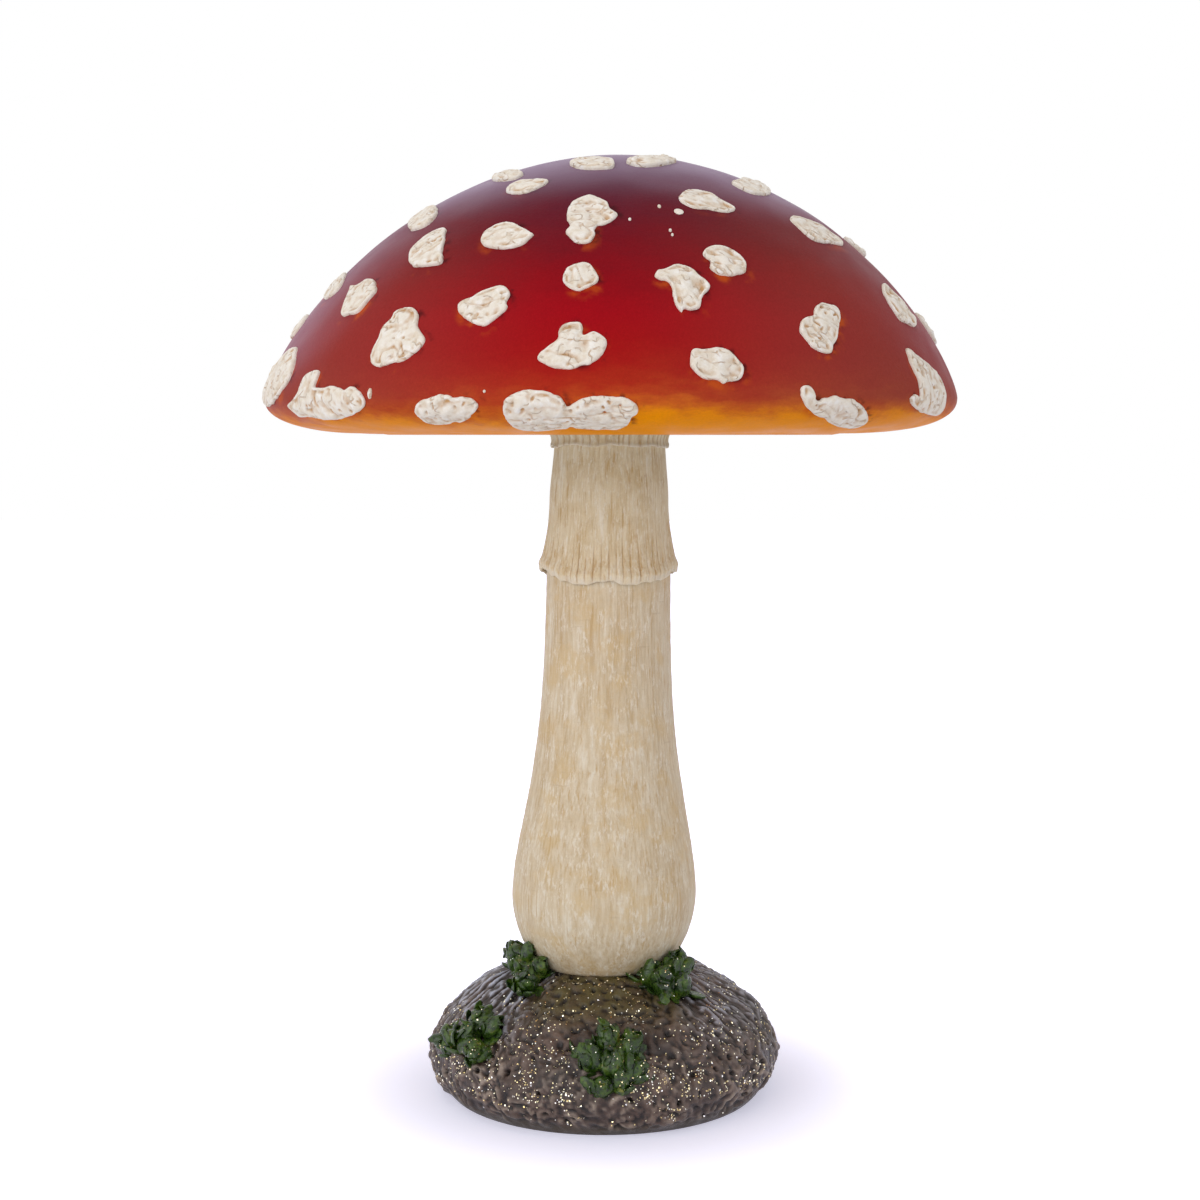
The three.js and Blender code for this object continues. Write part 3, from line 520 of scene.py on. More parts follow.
def cap_outline(inset, dome_rows, rim_rows):
    """Radius and height of the cap's outline, from the crown to the widest ring and under."""
    radius = cap_radius - inset
    dome = np.linspace(0, math.pi / 2, dome_rows + 1)
    rim = np.linspace(0, math.pi / 2, rim_rows + 1)[1:]
    dome_rise = np.cos(dome).clip(0) ** (2 / dome_fullness)
    dome_points = np.stack([radius * np.sin(dome),
                            rim_roll + (cap_height - rim_roll - inset) * dome_rise], axis=-1)
    out = np.cos(rim).clip(0) ** (2 / rim_fullness)
    rim_points = np.stack([rim_flat_radius + (radius - rim_flat_radius) * out,
                           rim_roll - (rim_roll - inset) * np.sin(rim) ** (2 / rim_fullness)], axis=-1)
    return np.concatenate([dome_points, rim_points])


def lean_cap(points):
    """Shifts points on the cap to the right, a little more towards the crown."""
    moved = points.copy()
    moved[..., 0] += cap_shift + cap_top_shift * points[..., 2] / cap_height
    moved[..., 2] += cap_level
    return moved


skin = cap_outline(inset=0, dome_rows=700, rim_rows=300)
skin_steps = np.linalg.norm(np.diff(skin, axis=0), axis=1)
skin_distance = np.concatenate([[0], np.cumsum(skin_steps)])
skin_slope = np.gradient(skin, skin_distance, axis=0)


def skin_at(distance):
    """Radius, height and outward direction of the skin at distances from the crown."""
    radius, height, run, fall = (np.interp(distance, skin_distance, values)
                                 for values in (skin[:, 0], skin[:, 1], skin_slope[:, 0],
                                                skin_slope[:, 1]))
    return radius, height, -fall, run


def on_cap(azimuth, distance, lift):
    """Points on the cap's skin, lifted off it along its normal."""
    radius, height, out, up = skin_at(distance)
    return lean_cap(on_ring(radius + out * lift, height + up * lift, azimuth))


def distance_at_share(share):
    """Distance from the crown of the ring at a share of the cap's height, in hundredths."""
    return skin_distance[np.argmax(skin[:, 1] <= cap_height * share / 100)]


print("cap radius", round(cap_radius, 1), "height", round(cap_height, 1), "crown to lip along the skin",
      round(skin_distance[-1], 1))

# %% [markdown]
# ## Where the warts are
# On the real ornament a wart is a patch of thick cream paste, pushed on with a brush. Each
# row gives a wart's azimuth, its height on the cap in hundredths, the way its brush strokes
# run in degrees, and its outline: a closed line of points to the right and up, in
# millimetres along the skin. The first 22 rows were drawn over the picture, on a
# millimetre grid that follows the skin. The next nine are warts that the picture shows only
# edge on, and the last 15 fill the far side: their outlines are made up in the same style.

# %% List the warts
warts = [
    ("wart_rim_left_edge", -73, 19.1, 60, [
        (-5, -11), (8, -11), (18, -9), (24, -6), (29, -2), (29, 3), (27, 7), (22, 11), (18, 14),
        (8, 13), (-2, 9), (-12, 3), (-15, -6)]),
    ("wart_rim_left_long", -53, 12.3, 86, [
        (-3.3, 10), (-6.4, 8.4), (-7.2, 5), (-8.5, 1.6), (-12.8, -0.6), (-19.3, -2.8), (-16.7, -6),
        (-14.6, -9.1), (-8, -8.8), (-1.7, -9.6), (4, -11.2), (13, -11), (20, -9.6), (28, -7.3),
        (34.5, -4.8), (36.7, -1.8), (34.4, 1.2), (29, 3.6), (25, 2.5), (19, 3.8), (14, 4), (8, 3.5),
        (4, 4.2), (3.6, 6.5), (3.9, 9.5), (2.1, 11.2)]),
    ("wart_rim_left_pair", -24.7, 7.2, 15, [
        (-6.4, 6.1), (-11.3, 4.3), (-14.3, 0.7), (-13.6, -3), (-12.5, -7.6), (-9, -9.2), (-3, -8.4),
        (0.5, -6.3), (2.5, -7), (7.5, -4), (9, -2), (12, 0.3), (13.7, 3), (12, 5.6), (8, 6.5),
        (3.9, 5.8), (2.5, 6.5), (-1.3, 7.2)]),
    ("wart_rim_front_double", -6.3, 6.9, 5, [
        (-13.2, 9.4), (-17, 9.2), (-21, 7.8), (-23.7, 5), (-24.6, 0), (-24, -5), (-22.3, -12),
        (-18, -17.5), (-12, -17.7), (-5.3, -15), (-1.9, -13.8), (0, -11), (1.5, -13.4), (10, -15),
        (17.5, -13.8), (21.5, -9), (22.9, -3.3), (25.3, 0), (24.8, 3.4), (21, 6.4), (15.5, 6.6),
        (9, 6.9), (4.5, 5.5), (0, 2.8), (-1.2, 4.5), (-3, 7), (-8, 8.6)]),
    ("wart_rim_right_hook", 32.9, 6.3, 150, [
        (-12.6, 9), (-11, 6), (-8.5, 3.7), (-4, 1), (-0.5, -0.9), (2.9, -1.5), (7.3, -4.8),
        (13.9, -8.3), (19.2, -10.2), (26, -12), (29.5, -9), (29, -4.5), (26.5, -1), (22.3, 2.2),
        (18.7, 4.8), (15.5, 6.2), (12.5, 7.6), (8.3, 7.5), (4.4, 8.5), (1.9, 8.6), (0.2, 8),
        (-2.5, 7.6), (-4.2, 6.5), (-6, 7.3), (-6.5, 9), (-7.8, 11.3), (-10, 12.4), (-12.1, 12)]),
    ("wart_rim_right_tapered", 56.5, 17.5, 115, [
        (-5.4, 11), (-6, 7.4), (-4.8, 1.8), (-5.3, -3), (-6, -6.2), (-10.6, -5.4), (-13.6, -7),
        (-11.5, -9.2), (-7.2, -11.2), (-1.3, -12.3), (5, -13), (12, -14.2), (19, -14.5),
        (23.3, -13), (23, -10), (21, -6.5), (20.7, -2), (18.9, 2.3), (14.8, 5), (10.6, 7.7),
        (5, 10.1), (0.5, 12.4), (-1.9, 14.1), (-4.3, 14.6)]),
    ("wart_low_left_tall", -36.5, 30.5, 120, [
        (-3.5, 13.7), (-5.9, 11.8), (-5.6, 9), (-7.9, 5.2), (-8, -0.5), (-8.6, -4.5), (-8.2, -8.4),
        (-5.8, -11.2), (-2, -12.1), (4.3, -10.8), (9.8, -9.6), (13.8, -6.2), (15.6, -3), (15, -0.3),
        (11.2, 3.3), (8.8, 6), (7.2, 10), (4.5, 13.1), (0.9, 14.2)]),
    ("wart_low_front_trefoil", -6.3, 26.9, 170, [
        (-5, 7.2), (-5.4, 3), (-8.4, 0.1), (-12.1, -4.2), (-10.3, -6.7), (-5, -9), (1.6, -9.1),
        (4.5, -8), (7.6, -7.1), (11.5, -3.8), (13.2, 0.5), (12.3, 3.4), (8, 6.5), (4.2, 5),
        (3.7, 8.5), (2.2, 10.4), (-2, 10.2)]),
    ("wart_low_front_oval", 15.2, 21.2, 158, [
        (-9.8, 5), (-10.5, 0.5), (-9.6, -1.5), (-6.1, -5.1), (-0.6, -5.8), (1.5, -7.1), (3.2, -6.4),
        (7.8, -5.5), (9.7, -3.1), (10, -0.2), (7.7, 3.2), (4, 6.6), (0, 7.3), (-4.5, 6.5),
        (-8.4, 6.8)]),
    ("wart_low_right_heart", 35.7, 34.4, 140, [
        (-1.9, 7.6), (-3.5, 5), (-7.9, 3.8), (-10.9, 1.7), (-13.1, -2.5), (-12.1, -5.1),
        (-9.6, -10.2), (-5, -11.9), (-2, -12), (-1, -11), (0.2, -8.5), (2.4, -6.8), (4.6, -3.8),
        (7.2, 0), (10.4, 5), (11, 8.2), (9.6, 10.1), (6.5, 10.6), (3.4, 11.3), (0.1, 9.7)]),
    ("wart_middle_left_slant", -53.4, 47, 130, [
        (-1.5, 7.2), (-3.5, 5.5), (-6.5, 4.2), (-10.8, 4.2), (-10, 2.2), (-7.5, -1.5), (-5, -6),
        (-2.6, -10), (0.2, -12), (3.1, -11.6), (8.5, -10.7), (10.9, -9), (11.9, -4), (12, 0),
        (9.3, 3.4), (6, 6), (2.4, 7.2)]),
    ("wart_middle_left_bean", -21.2, 41.1, 24, [
        (0, 7.3), (-3.5, 5.8), (-6.5, 3), (-11.4, 0.3), (-11.3, -3), (-8.7, -6), (-3, -9.4),
        (1.5, -10.7), (4.5, -8.3), (7.8, -4.9), (8.9, -2), (8, 0.2), (8.4, 4), (6.3, 7), (3.3, 8.4)]),
    ("wart_middle_front_round", -6.2, 49.9, 110, [
        (-4.6, 3.6), (-6.2, -1), (-5.3, -4.6), (-2, -7.6), (0.8, -8.5), (3, -7.1), (6.3, -5),
        (7.3, -2.3), (6.7, 0.3), (3.5, 5.1), (0.8, 6.3)]),
    ("wart_middle_front_hook", 11.9, 47.1, 130, [
        (-6.5, 7.4), (-9.5, 6.6), (-11.1, 4.4), (-10, 2.2), (-6.2, 0.8), (-5.1, -2), (-5.2, -6),
        (-4.8, -11), (-3, -13.8), (-1.6, -12.3), (0.8, -13), (4.3, -11.2), (5.2, -9), (6.5, -5.7),
        (9.4, -2), (9.4, 0.3), (6.5, 3.8), (4.7, 6.8), (1, 9.6), (-2.2, 10.1)]),
    ("wart_middle_right_narrow", 64.1, 44.9, 105, [
        (-6, 7.6), (-10, 4.2), (-11.5, 1), (-12.7, -2), (-13, -5.4), (-11.8, -10), (-7, -11),
        (2, -12), (6, -9), (7, -4), (6, 1), (3, 6), (0, 10)]),
    ("wart_upper_left_corner", -42.1, 63.1, 55, [
        (-1.5, 9), (-4.6, 7.8), (-7.2, 4.5), (-8.8, -0.9), (-9.1, -4.4), (-6.7, -8.1), (-3, -11.6),
        (1, -14.2), (5.4, -14.2), (12.7, -13.8), (15, -12.5), (13, -9), (9.5, -4.2), (6.5, 1),
        (3.5, 5.5), (1.3, 8.6)]),
    ("wart_upper_left_oval", -24, 64.8, 20, [
        (-5.6, 5.7), (-9.2, 1.5), (-9.4, -2), (-7.5, -6), (-2.7, -8.6), (3, -9.5), (8.1, -8.9),
        (11, -6.8), (12.1, -3.5), (13.2, -1.4), (10.6, 0.2), (7.5, 2.5), (3.3, 5.4), (-1.4, 7.1)]),
    ("wart_upper_front_double", -5, 69.8, 150, [
        (-6.5, 14.6), (-9.9, 10.4), (-10.8, 5), (-10.3, -1), (-8.9, -5.8), (-9.9, -10), (-7, -15),
        (-4, -16.9), (0, -16), (1.4, -12), (0.9, -8.7), (1.8, -6), (4.5, -5.2), (7, -3), (9, 1.6),
        (6, 5.8), (4.5, 10.5), (1.4, 14), (-2.7, 16.8)]),
    ("wart_upper_right_pair", 20.6, 57, 165, [
        (-4, 4.4), (-7.4, 1.9), (-7.6, -1), (-6.2, -3.5), (-6.8, -7), (-5.5, -9.6), (-2.6, -11.1),
        (3, -10.8), (6.5, -9.5), (7.8, -7.3), (8.3, -3.5), (7, 0.5), (3.5, 4.2), (-0.4, 5.5)]),
    ("wart_upper_right_tail", 25.6, 77, 150, [
        (-9, 6.8), (-12.5, 3.5), (-14.4, -1), (-13, -4.6), (-9.6, -7.5), (-5, -7.2), (0.5, -9.1),
        (6.3, -7.8), (8.2, -5.5), (7, -3), (4, 1), (2.6, 5.8), (-1.5, 7.8), (-6, 7.8)]),
    ("wart_upper_right_long", 55.2, 69, 160, [
        (-13.3, 5.8), (-14.3, 1), (-14.6, -3), (-13.5, -7), (-9.4, -8.7), (0, -8.7), (9.5, -8.6),
        (13.4, -6), (13, -3), (10, 0.5), (9.2, 4.6), (2, 7), (-4, 8.3), (-9.5, 8.2)]),
    ("wart_crown_left_thin", -29.4, 83.8, 20, [
        (8.2, 2.6), (3, 3.9), (-3.5, 4), (-6.8, 1.5), (-7.5, -3), (-6.2, -6.5), (-2.8, -8.8),
        (1.5, -9.7), (6, -8), (8.9, -3.5), (9.4, 0.5)]),
    ("wart_middle_left_edge", -72, 51.5, 160, [
        (-12, -1), (-4, -5), (6, -8), (14, -5), (13, 0), (4, 5), (-5, 8), (-13, 5)]),
    ("wart_middle_left_small", -79, 38.2, 0, [
        (-6, -5), (4, -6), (9, 0), (5, 5), (-4, 6), (-9, 1)]),
    ("wart_middle_right_edge", 84, 38.2, 20, [
        (-5, -8), (6, -7), (12, 0), (10, 6), (1, 8), (-8, 5), (-11, -2)]),
    ("wart_upper_left_edge", -60, 73.8, 150, [
        (-13, 1), (-3, -5), (8, -9), (15, -6), (12, 1), (2, 8), (-9, 12), (-17, 9)]),
    ("wart_upper_right_edge", 79, 66.5, 10, [
        (-4, -6), (6, -5), (10, 2), (4, 6), (-5, 5), (-10, -1)]),
    ("wart_crown_left_edge", -48.6, 88.9, 150, [
        (-8, -1), (3, -6), (12, -6), (11, 0), (2, 6), (-8, 9), (-15, 6)]),
    ("wart_crown_front", -10.6, 92.3, 130, [
        (-11, 2), (-7, -5), (0, -9), (8, -8), (9, -2), (6, 6), (-3, 10), (-9, 8)]),
    ("wart_crown_right", 19.3, 93.5, 40, [
        (-11, -8), (-5, -9), (5, -3), (12, 4), (12, 11), (4, 12), (-4, 8), (-12, 0)]),
    ("wart_crown_right_edge", 54.4, 85, 25, [
        (-14, -8), (-4, -8), (8, -3), (19, 5), (19, 11), (8, 12), (-4, 7), (-15, 1)]),
    ("wart_back_rim_right", 103, 10, 30, [
        (-14, -8), (-3, -10), (6, -7), (16, -6), (18, 3), (11, 8), (3, 6), (-4, 9), (-13, 8),
        (-19, 1)]),
    ("wart_back_rim_middle", 143, 8.3, 160, [
        (-11, -6), (0, -9), (10, -6), (17, 1), (16, 8), (8, 10), (1, 8), (-8, 9), (-15, 3)]),
    ("wart_back_rim_left", 186, 9.1, 15, [
        (-12, -11), (0, -8), (10, -10), (19, -3), (17, 6), (7, 9), (-1, 6), (-9, 9), (-18, 7),
        (-22, -1)]),
    ("wart_back_rim_far_left", 236, 11.6, 80, [
        (-16, -2), (-9, -8), (5, -9), (16, -4), (15, 4), (7, 9), (-4, 8), (-7, 11), (-12, 12),
        (-15, 5)]),
    ("wart_back_low_right", 121, 29.9, 60, [
        (-6, -13), (3, -12), (7, -4), (10, 4), (8, 12), (0, 13), (-8, 7), (-12, -2), (-11, -9)]),
    ("wart_back_low_middle", 163, 32.4, 140, [
        (-13, -4), (-7, -9), (0, -6), (8, -5), (15, 1), (13, 9), (5, 11), (-2, 6), (-8, 8),
        (-14, 4)]),
    ("wart_back_low_left", 212, 29.1, 165, [
        (-13, -2), (-5, -8), (6, -9), (13, -2), (10, 6), (7, 14), (0, 14), (-4, 8), (-12, 5)]),
    ("wart_back_low_far_left", 262, 33.3, 95, [
        (-11, -3), (-7, -11), (1, -12), (9, -11), (12, -4), (9, 4), (4, 12), (-5, 12), (-10, 6)]),
    ("wart_back_middle_right", 106, 54.9, 40, [
        (0, -10), (7, -4), (11, 4), (5, 10), (-4, 8), (-11, 2), (-9, -6)]),
    ("wart_back_middle", 187, 54, 120, [
        (-8, -6), (2, -9), (10, -4), (9, 5), (1, 7), (-4, 11), (-10, 12), (-11, 6)]),
    ("wart_back_middle_left", 238, 52.4, 25, [
        (-8, -7), (1, -9), (11, -10), (14, -4), (8, 0), (6, 6), (-2, 10), (-12, 7), (-15, -1)]),
    ("wart_back_upper_right", 144, 63.2, 155, [
        (-14, -6), (-9, -11), (-2, -6), (8, -8), (14, -2), (8, 6), (-3, 9), (-12, 5)]),
    ("wart_back_upper_middle", 174, 84, 15, [
        (-5, -9), (7, -7), (14, 1), (11, 8), (0, 9), (-10, 5), (-14, -4)]),
    ("wart_back_upper_left", 215, 74.8, 140, [
        (-11, -1), (-6, -6), (2, -10), (9, -13), (13, -6), (8, 0), (4, 5), (-5, 9), (-11, 5)]),
    ("wart_back_crown", 258, 80.6, 170, [
        (-9, -7), (2, -8), (10, -3), (14, 4), (10, 9), (3, 7), (-7, 8), (-14, 2)]),
]
print("warts:", len(warts), "with", sum(len(outline) for *_, outline in warts), "points")

# %% [markdown]
# ## The outline of a wart
# A smooth closed curve runs through the points of an outline. How far a point of the skin
# lies from that curve, and on which side, is all that shaping a wart needs: the edge is
# where the distance is zero. The same distance later tells the cap where the orange ground
# shows below a wart and where a shadow is painted beside it.

# %% Measure the distance to a wart's edge
curve_parts = 5
far_away = 99.0


def smooth_outline(outline):
    """Points along the smooth closed curve through the outline's points."""
    points = np.array(outline, dtype=float)
    before, after, beyond = (np.roll(points, step, axis=0) for step in (1, -1, -2))
    share = (np.arange(curve_parts) / curve_parts)[:, None, None]
    curve = (0.5 * (2 * points + (after - before) * share + (2 * before - 5 * points + 4 * after - beyond)
                    * share**2 + (3 * points - before - 3 * after + beyond) * share**3))
    return curve.transpose(1, 0, 2).reshape(-1, 2)


def edge_distance(outline, right, up):
    """How far points lie outside a wart's edge, in millimetres. It is negative inside."""
    curve = smooth_outline(outline)
    result = np.full(right.shape, far_away)
    margin = 7.0
    near = ((right > curve[:, 0].min() - margin) & (right < curve[:, 0].max() + margin)
            & (up > curve[:, 1].min() - margin) & (up < curve[:, 1].max() + margin))
    x, y = right[near], up[near]
    nearest = np.full(x.shape, far_away)
    crossings = np.zeros(x.shape, dtype=int)
    for (x0, y0), (x1, y1) in zip(curve, np.roll(curve, -1, axis=0)):
        length = (x1 - x0) ** 2 + (y1 - y0) ** 2
        share = np.clip(((x - x0) * (x1 - x0) + (y - y0) * (y1 - y0)) / length, 0, 1)
        nearest = np.minimum(nearest, np.hypot(x - x0 - share * (x1 - x0), y - y0 - share * (y1 - y0)))
        if y0 != y1:
            beside = x < x0 + (y - y0) * (x1 - x0) / (y1 - y0)
            crossings += ((y0 > y) != (y1 > y)) & beside
    result[near] = np.where(crossings % 2 == 1, -nearest, nearest)
    return result


square = [(-5, -5), (5, -5), (5, 5), (-5, 5)]
print("2 mm outside a rounded square:", edge_distance(square, np.array([8.2]), np.array([0.0])).round(1))

# %% [markdown]
# ## The cap casting
# The dome is turned as a fine grid of real points, with the low waves and small dents that
# a resin casting has. Two values are stored on its points: how near a point lies below a
# wart, where the airbrushed orange glows, and beside one, to its right, where a shadow is
# painted in dark plum.

# %% Turn the cap
cap_columns = 420
cap_dome_rows = 130
cap_rim_rows = 34
inner_dome_rows = 24
inner_rim_rows = 8
wave_depth = 0.35


def cap_wave(points):
    """Low waves in the casting, always inwards, so that the cap keeps its size."""
    slow = noise(points, 48, seed=3)
    quick = noise(points, 17, seed=4)
    return wave_depth * (slow + 0.45 * quick - 1.45)


def wart_shadow(points_azimuth, points_distance, shift_right, shift_up, low, high):
    """How near points lie to the warts once these are shifted, from 0 to 1."""
    nearest = np.full(points_azimuth.shape, far_away)
    radius = skin_at(points_distance)[0]
    for _, azimuth, share, _, outline in warts:
        turn = (points_azimuth - math.radians(azimuth) + math.pi) % (2 * math.pi) - math.pi
        up = distance_at_share(share) - points_distance
        away = edge_distance(outline, turn * radius - shift_right, up - shift_up)
        nearest = np.minimum(nearest, away)
    return 1 - smooth_step(low, high, nearest)


from_crown = cap_outline(0, cap_dome_rows, cap_rim_rows)
outer = from_crown[1:]
inner = cap_outline(cap_wall, inner_dome_rows, inner_rim_rows)[1:]
lip = np.array([[rim_flat_radius - cap_lip, 0.0], [rim_flat_radius - cap_lip, cap_wall]])
outline = np.concatenate([outer, lip, inner[::-1]])
round_cap = all_round(cap_columns)
cap_grid = on_ring(outline[:, :1], outline[:, 1:], round_cap[None, :])
outer_distance = np.cumsum(np.linalg.norm(np.diff(from_crown, axis=0), axis=1))
azimuth_grid, distance_grid = np.broadcast_arrays(round_cap[None, :], outer_distance[:, None])
_, _, normal_out, normal_up = skin_at(distance_grid)
wave = cap_wave(cap_grid[:len(outer)])
cap_grid[:len(outer)] += on_ring(normal_out * wave, normal_up * wave, azimuth_grid)
cap_points = lean_cap(cap_grid).reshape(-1, 3)
crowns = lean_cap(np.array([[0, 0, cap_height - wave_depth], [0, 0, cap_height - cap_wall]]))
cap_faces = turned_faces(len(outline), cap_columns, closes=False)
last_ring = (len(outline) - 1) * cap_columns
for step in range(cap_columns):
    beside = (step + 1) % cap_columns
    cap_faces.append((len(cap_points), step, beside))
    cap_faces.append((len(cap_points) + 1, last_ring + beside, last_ring + step))


def on_all_points(values):
    """Fills up a value that is known on the cap's outer skin with zeros for the rest."""
    return np.concatenate([values.ravel(), np.zeros(len(cap_points) + 2 - values.size)])


halo = wart_shadow(azimuth_grid, distance_grid, shift_right=0.8, shift_up=-2.4, low=-0.5, high=2.6)
# Painted shadow: how near a point lies to a wart moved right and a little up, for dark plum beside it.
painted_wart_shadow = wart_shadow(azimuth_grid, distance_grid, shift_right=1.9, shift_up=0.4, low=-0.5, high=1.8)
print("cap grid", cap_grid.shape, "deepest wave", round(float(wave.min()), 2), "mm")

# %% [markdown]
# ## Cap paint
# The cap is airbrushed in bands over a yellow ground: orange along the rim, pure red in
# the middle and a plum brown on top, under a satin varnish of fine orange peel. The bands
# follow the height, so a colour ramp reads the height, pushed up and down a little by slow
# noise. Its top stops are partly the plum paint and partly a painted sheen, greyer and more
# violet at the crown. Towards the left and right sides the paint is browner and greyer, a
# painted sheen and shade at the edges of the dome. Near the top and low down at the left,
# where the skin turns away from the camera, a painted violet sheen stands for the white
# studio reflected in the varnish.

# %% Mix the cap paint
cap_paint, finish, shader, place = new_finish("cap paint")
axes = finish.split(place)
height = (axes["Z"] - cap_level) / cap_height
drift = (finish.noise(place, 34, 3) - 0.5) * 0.11
swept = finish.noise(finish.stretch(place, (0.3, 0.3, 1.0)), 4.5, 4, 0.6)
sweeps = (swept - 0.5) * 0.1
rightward = finish.spread(axes["X"], -60.0, 90.0, 0.0, -0.025)
band = height + rightward + (drift + sweeps)
# The top stops, greyer and more violet at the crown, are partly the plum paint and partly a painted
# sheen.
bands = finish.ramp(band, [
    (0.00, 250, 154, 6), (0.035, 242, 146, 20), (0.065, 210, 104, 34), (0.10, 184, 68, 32),
    (0.14, 172, 46, 28), (0.19, 166, 32, 26), (0.26, 162, 20, 24), (0.36, 160, 16, 26),
    (0.48, 142, 16, 26), (0.58, 122, 20, 30), (0.68, 108, 24, 36), (0.80, 92, 28, 44), (0.92, 82, 38, 58),
    (1.00, 80, 44, 66)], ease="LINEAR")
# Painted sheen and shade: browner and greyer towards the left and right sides of the dome, less at the
# rim.
sideways = finish.math("ABSOLUTE", axes["X"] + 6.0)
side_sheen_and_shade = finish.spread(sideways, 5.0, 135.0, 0.0, 0.6) * finish.spread(height, 0.05, 0.13, 0.15, 1.0)
side_sheened_and_shaded = finish.coats(bands, (side_sheen_and_shade, (136, 74, 64)))
speckled = finish.speckled(side_sheened_and_shaded, place, 1.1, 0.3)
glow_share = finish.attribute("halo") * finish.patches(place, 12, 3, 0.5, 0.66, 0.0, 0.7)
faded = finish.spread(height, 0.75, 0.45, 0.15, 1.0)
# Painted shadow: dark plum beside each wart, to its right, broken into patches.
painted_shadow_share = finish.attribute("painted_wart_shadow") * finish.patches(place, 5, 4, 0.5, 0.66, 0.0, 0.75)
# Painted reflection: a pale violet sheen where the skin turns away, near the top and low on the left.
facing = finish.out("ShaderNodeLayerWeight", {"Blend": 0.5}, "Facing")
near_top = finish.spread(height, 0.6, 0.88)
low_left = finish.spread(height, 0.06, 0.3) * finish.spread(axes["X"], -30.0, -130.0, 0.2, 0.6)
sheen = finish.spread(facing, 0.5, 1.0, 0.0, 0.85) * finish.math("MAXIMUM", near_top, low_left)
cap_colour = finish.coats(speckled, (glow_share * faded, (206, 92, 28)), (painted_shadow_share, (62, 20, 24)),
                     (sheen, (178, 158, 180)))
peel = finish.noise(place, 1.5, 2) + finish.noise(place, 0.6, 2) * 0.5
gloss = finish.patches(place, 14, 4, 0.3, 0.7, 0.34, 0.5)
paint(shader, {"Base Color": cap_colour, "Roughness": gloss, "Normal": finish.bump(peel, 0.12)},
      Specular_IOR_Level=0.008)
make_piece("cap", np.concatenate([cap_points, crowns]), cap_faces, cap_paint, "cap_paint", ["cap_shell"],
           {"halo": on_all_points(halo), "painted_wart_shadow": on_all_points(painted_wart_shadow)})

# %% [markdown]
# ## Wart paste
# The paste is cream with a thin ochre wash that stays in its pits and in fine engraved
# lines. Each patch is a piece of its own: a grid is laid over the outline, points just
# outside are drawn onto the edge, the edge is rolled over like soft paste and the top gets
# the brush's strokes and a few pits. A copy of the grid sunk into the cap closes it.

# %% Mix the wart paste
wart_paste, finish, shader, place = new_finish("wart paste")
tone = finish.ramp(finish.noise(place, 3.5, 4, 0.6), [
    (0.3, 226, 212, 190), (0.5, 237, 228, 213), (0.7, 245, 240, 232)])
off_line = finish.math("ABSOLUTE", finish.noise(place, 5.0, 1) - 0.5)
broken = finish.patches(place, 5.5, 2, 0.48, 0.58)
lines = finish.spread(off_line, 0.01, 0.045, 1.0, 0.0) * broken
hollows = finish.math("MAXIMUM", finish.attribute("wash"), lines * 0.7)
pitted = finish.wash_and_shade_hollows(tone, (188, 142, 88), hollows,
                       finish.patches(place, 3.5, 3, 0.35, 0.65, 0.35, 1.0))
creamy = finish.speckled(pitted, place, 0.7, 0.2)
grit = finish.noise(place, 0.7, 3)
engraved = (grit * 0.4 - lines) * 0.6
paint(shader, {"Base Color": creamy, "Roughness": finish.spread(grit, 0.3, 0.7, 0.45, 0.7),
               "Normal": finish.bump(engraved, 0.5)}, Specular_IOR_Level=0.4)
print("wart paste mixed")

# %% Shape a wart
wart_grid = 0.4
wart_edge_lift = 0.9
wart_rise = 0.4
wart_most_lift = 1.8
wart_root = 1.3
edge_roll = 0.7
edge_turn = 1.6
wart_margin = 2.5
wart_pattern_step = 27.1
wart_wash_rounds = 30
wart_wash_strength = 2.8
wart_crease = 75


def wart_relief(local, inside, turn):
    """Strokes that meander, soft lumps and a few pits, fading in from the rolled edge."""
    cos, sin = math.cos(turn), math.sin(turn)
    along = local[..., 0] * cos + local[..., 1] * sin
    across = local[..., 1] * cos - local[..., 0] * sin + 2.6 * noise(local, 7.0, seed=15)
    strokes = np.stack([along / 3.0, across, local[..., 2]], axis=-1)
    creases = smooth_step(0.3, 0.0, np.abs(noise(strokes, 3.4, seed=11)))
    grooves = noise(strokes, 2.4, seed=18)
    lumps = noise(local, 4.4, seed=12) + 0.25 * noise(local, 1.8, seed=13)
    bent = bend(local, 1.2, 3, 19)
    near, _ = nearest_cells(bent, 3.6, seed=14)
    pits = (1 - smooth_step(0.08, 0.36, near)) * smooth_step(-0.4, 0.2, noise(local, 8, seed=16))
    rough = 0.4 + 0.6 * smooth_step(-0.4, 0.4, noise(local, 9, seed=17))
    worked = smooth_step(0.5, 1.7, inside)
    dish = smooth_step(0.5, 1.8, inside) * 0.15
    return worked * ((0.5 * grooves - 0.5 * creases) * rough + 0.65 * lumps - 0.9 * pits) - dish


def averaged(values, rounds):
    """A grid smoothed by its neighbours this many times."""
    for _ in range(rounds):
        around = [np.roll(values, step, axis) for axis in (0, 1) for step in (-1, 1)]
        values = (values + sum(around)) / 5
    return values


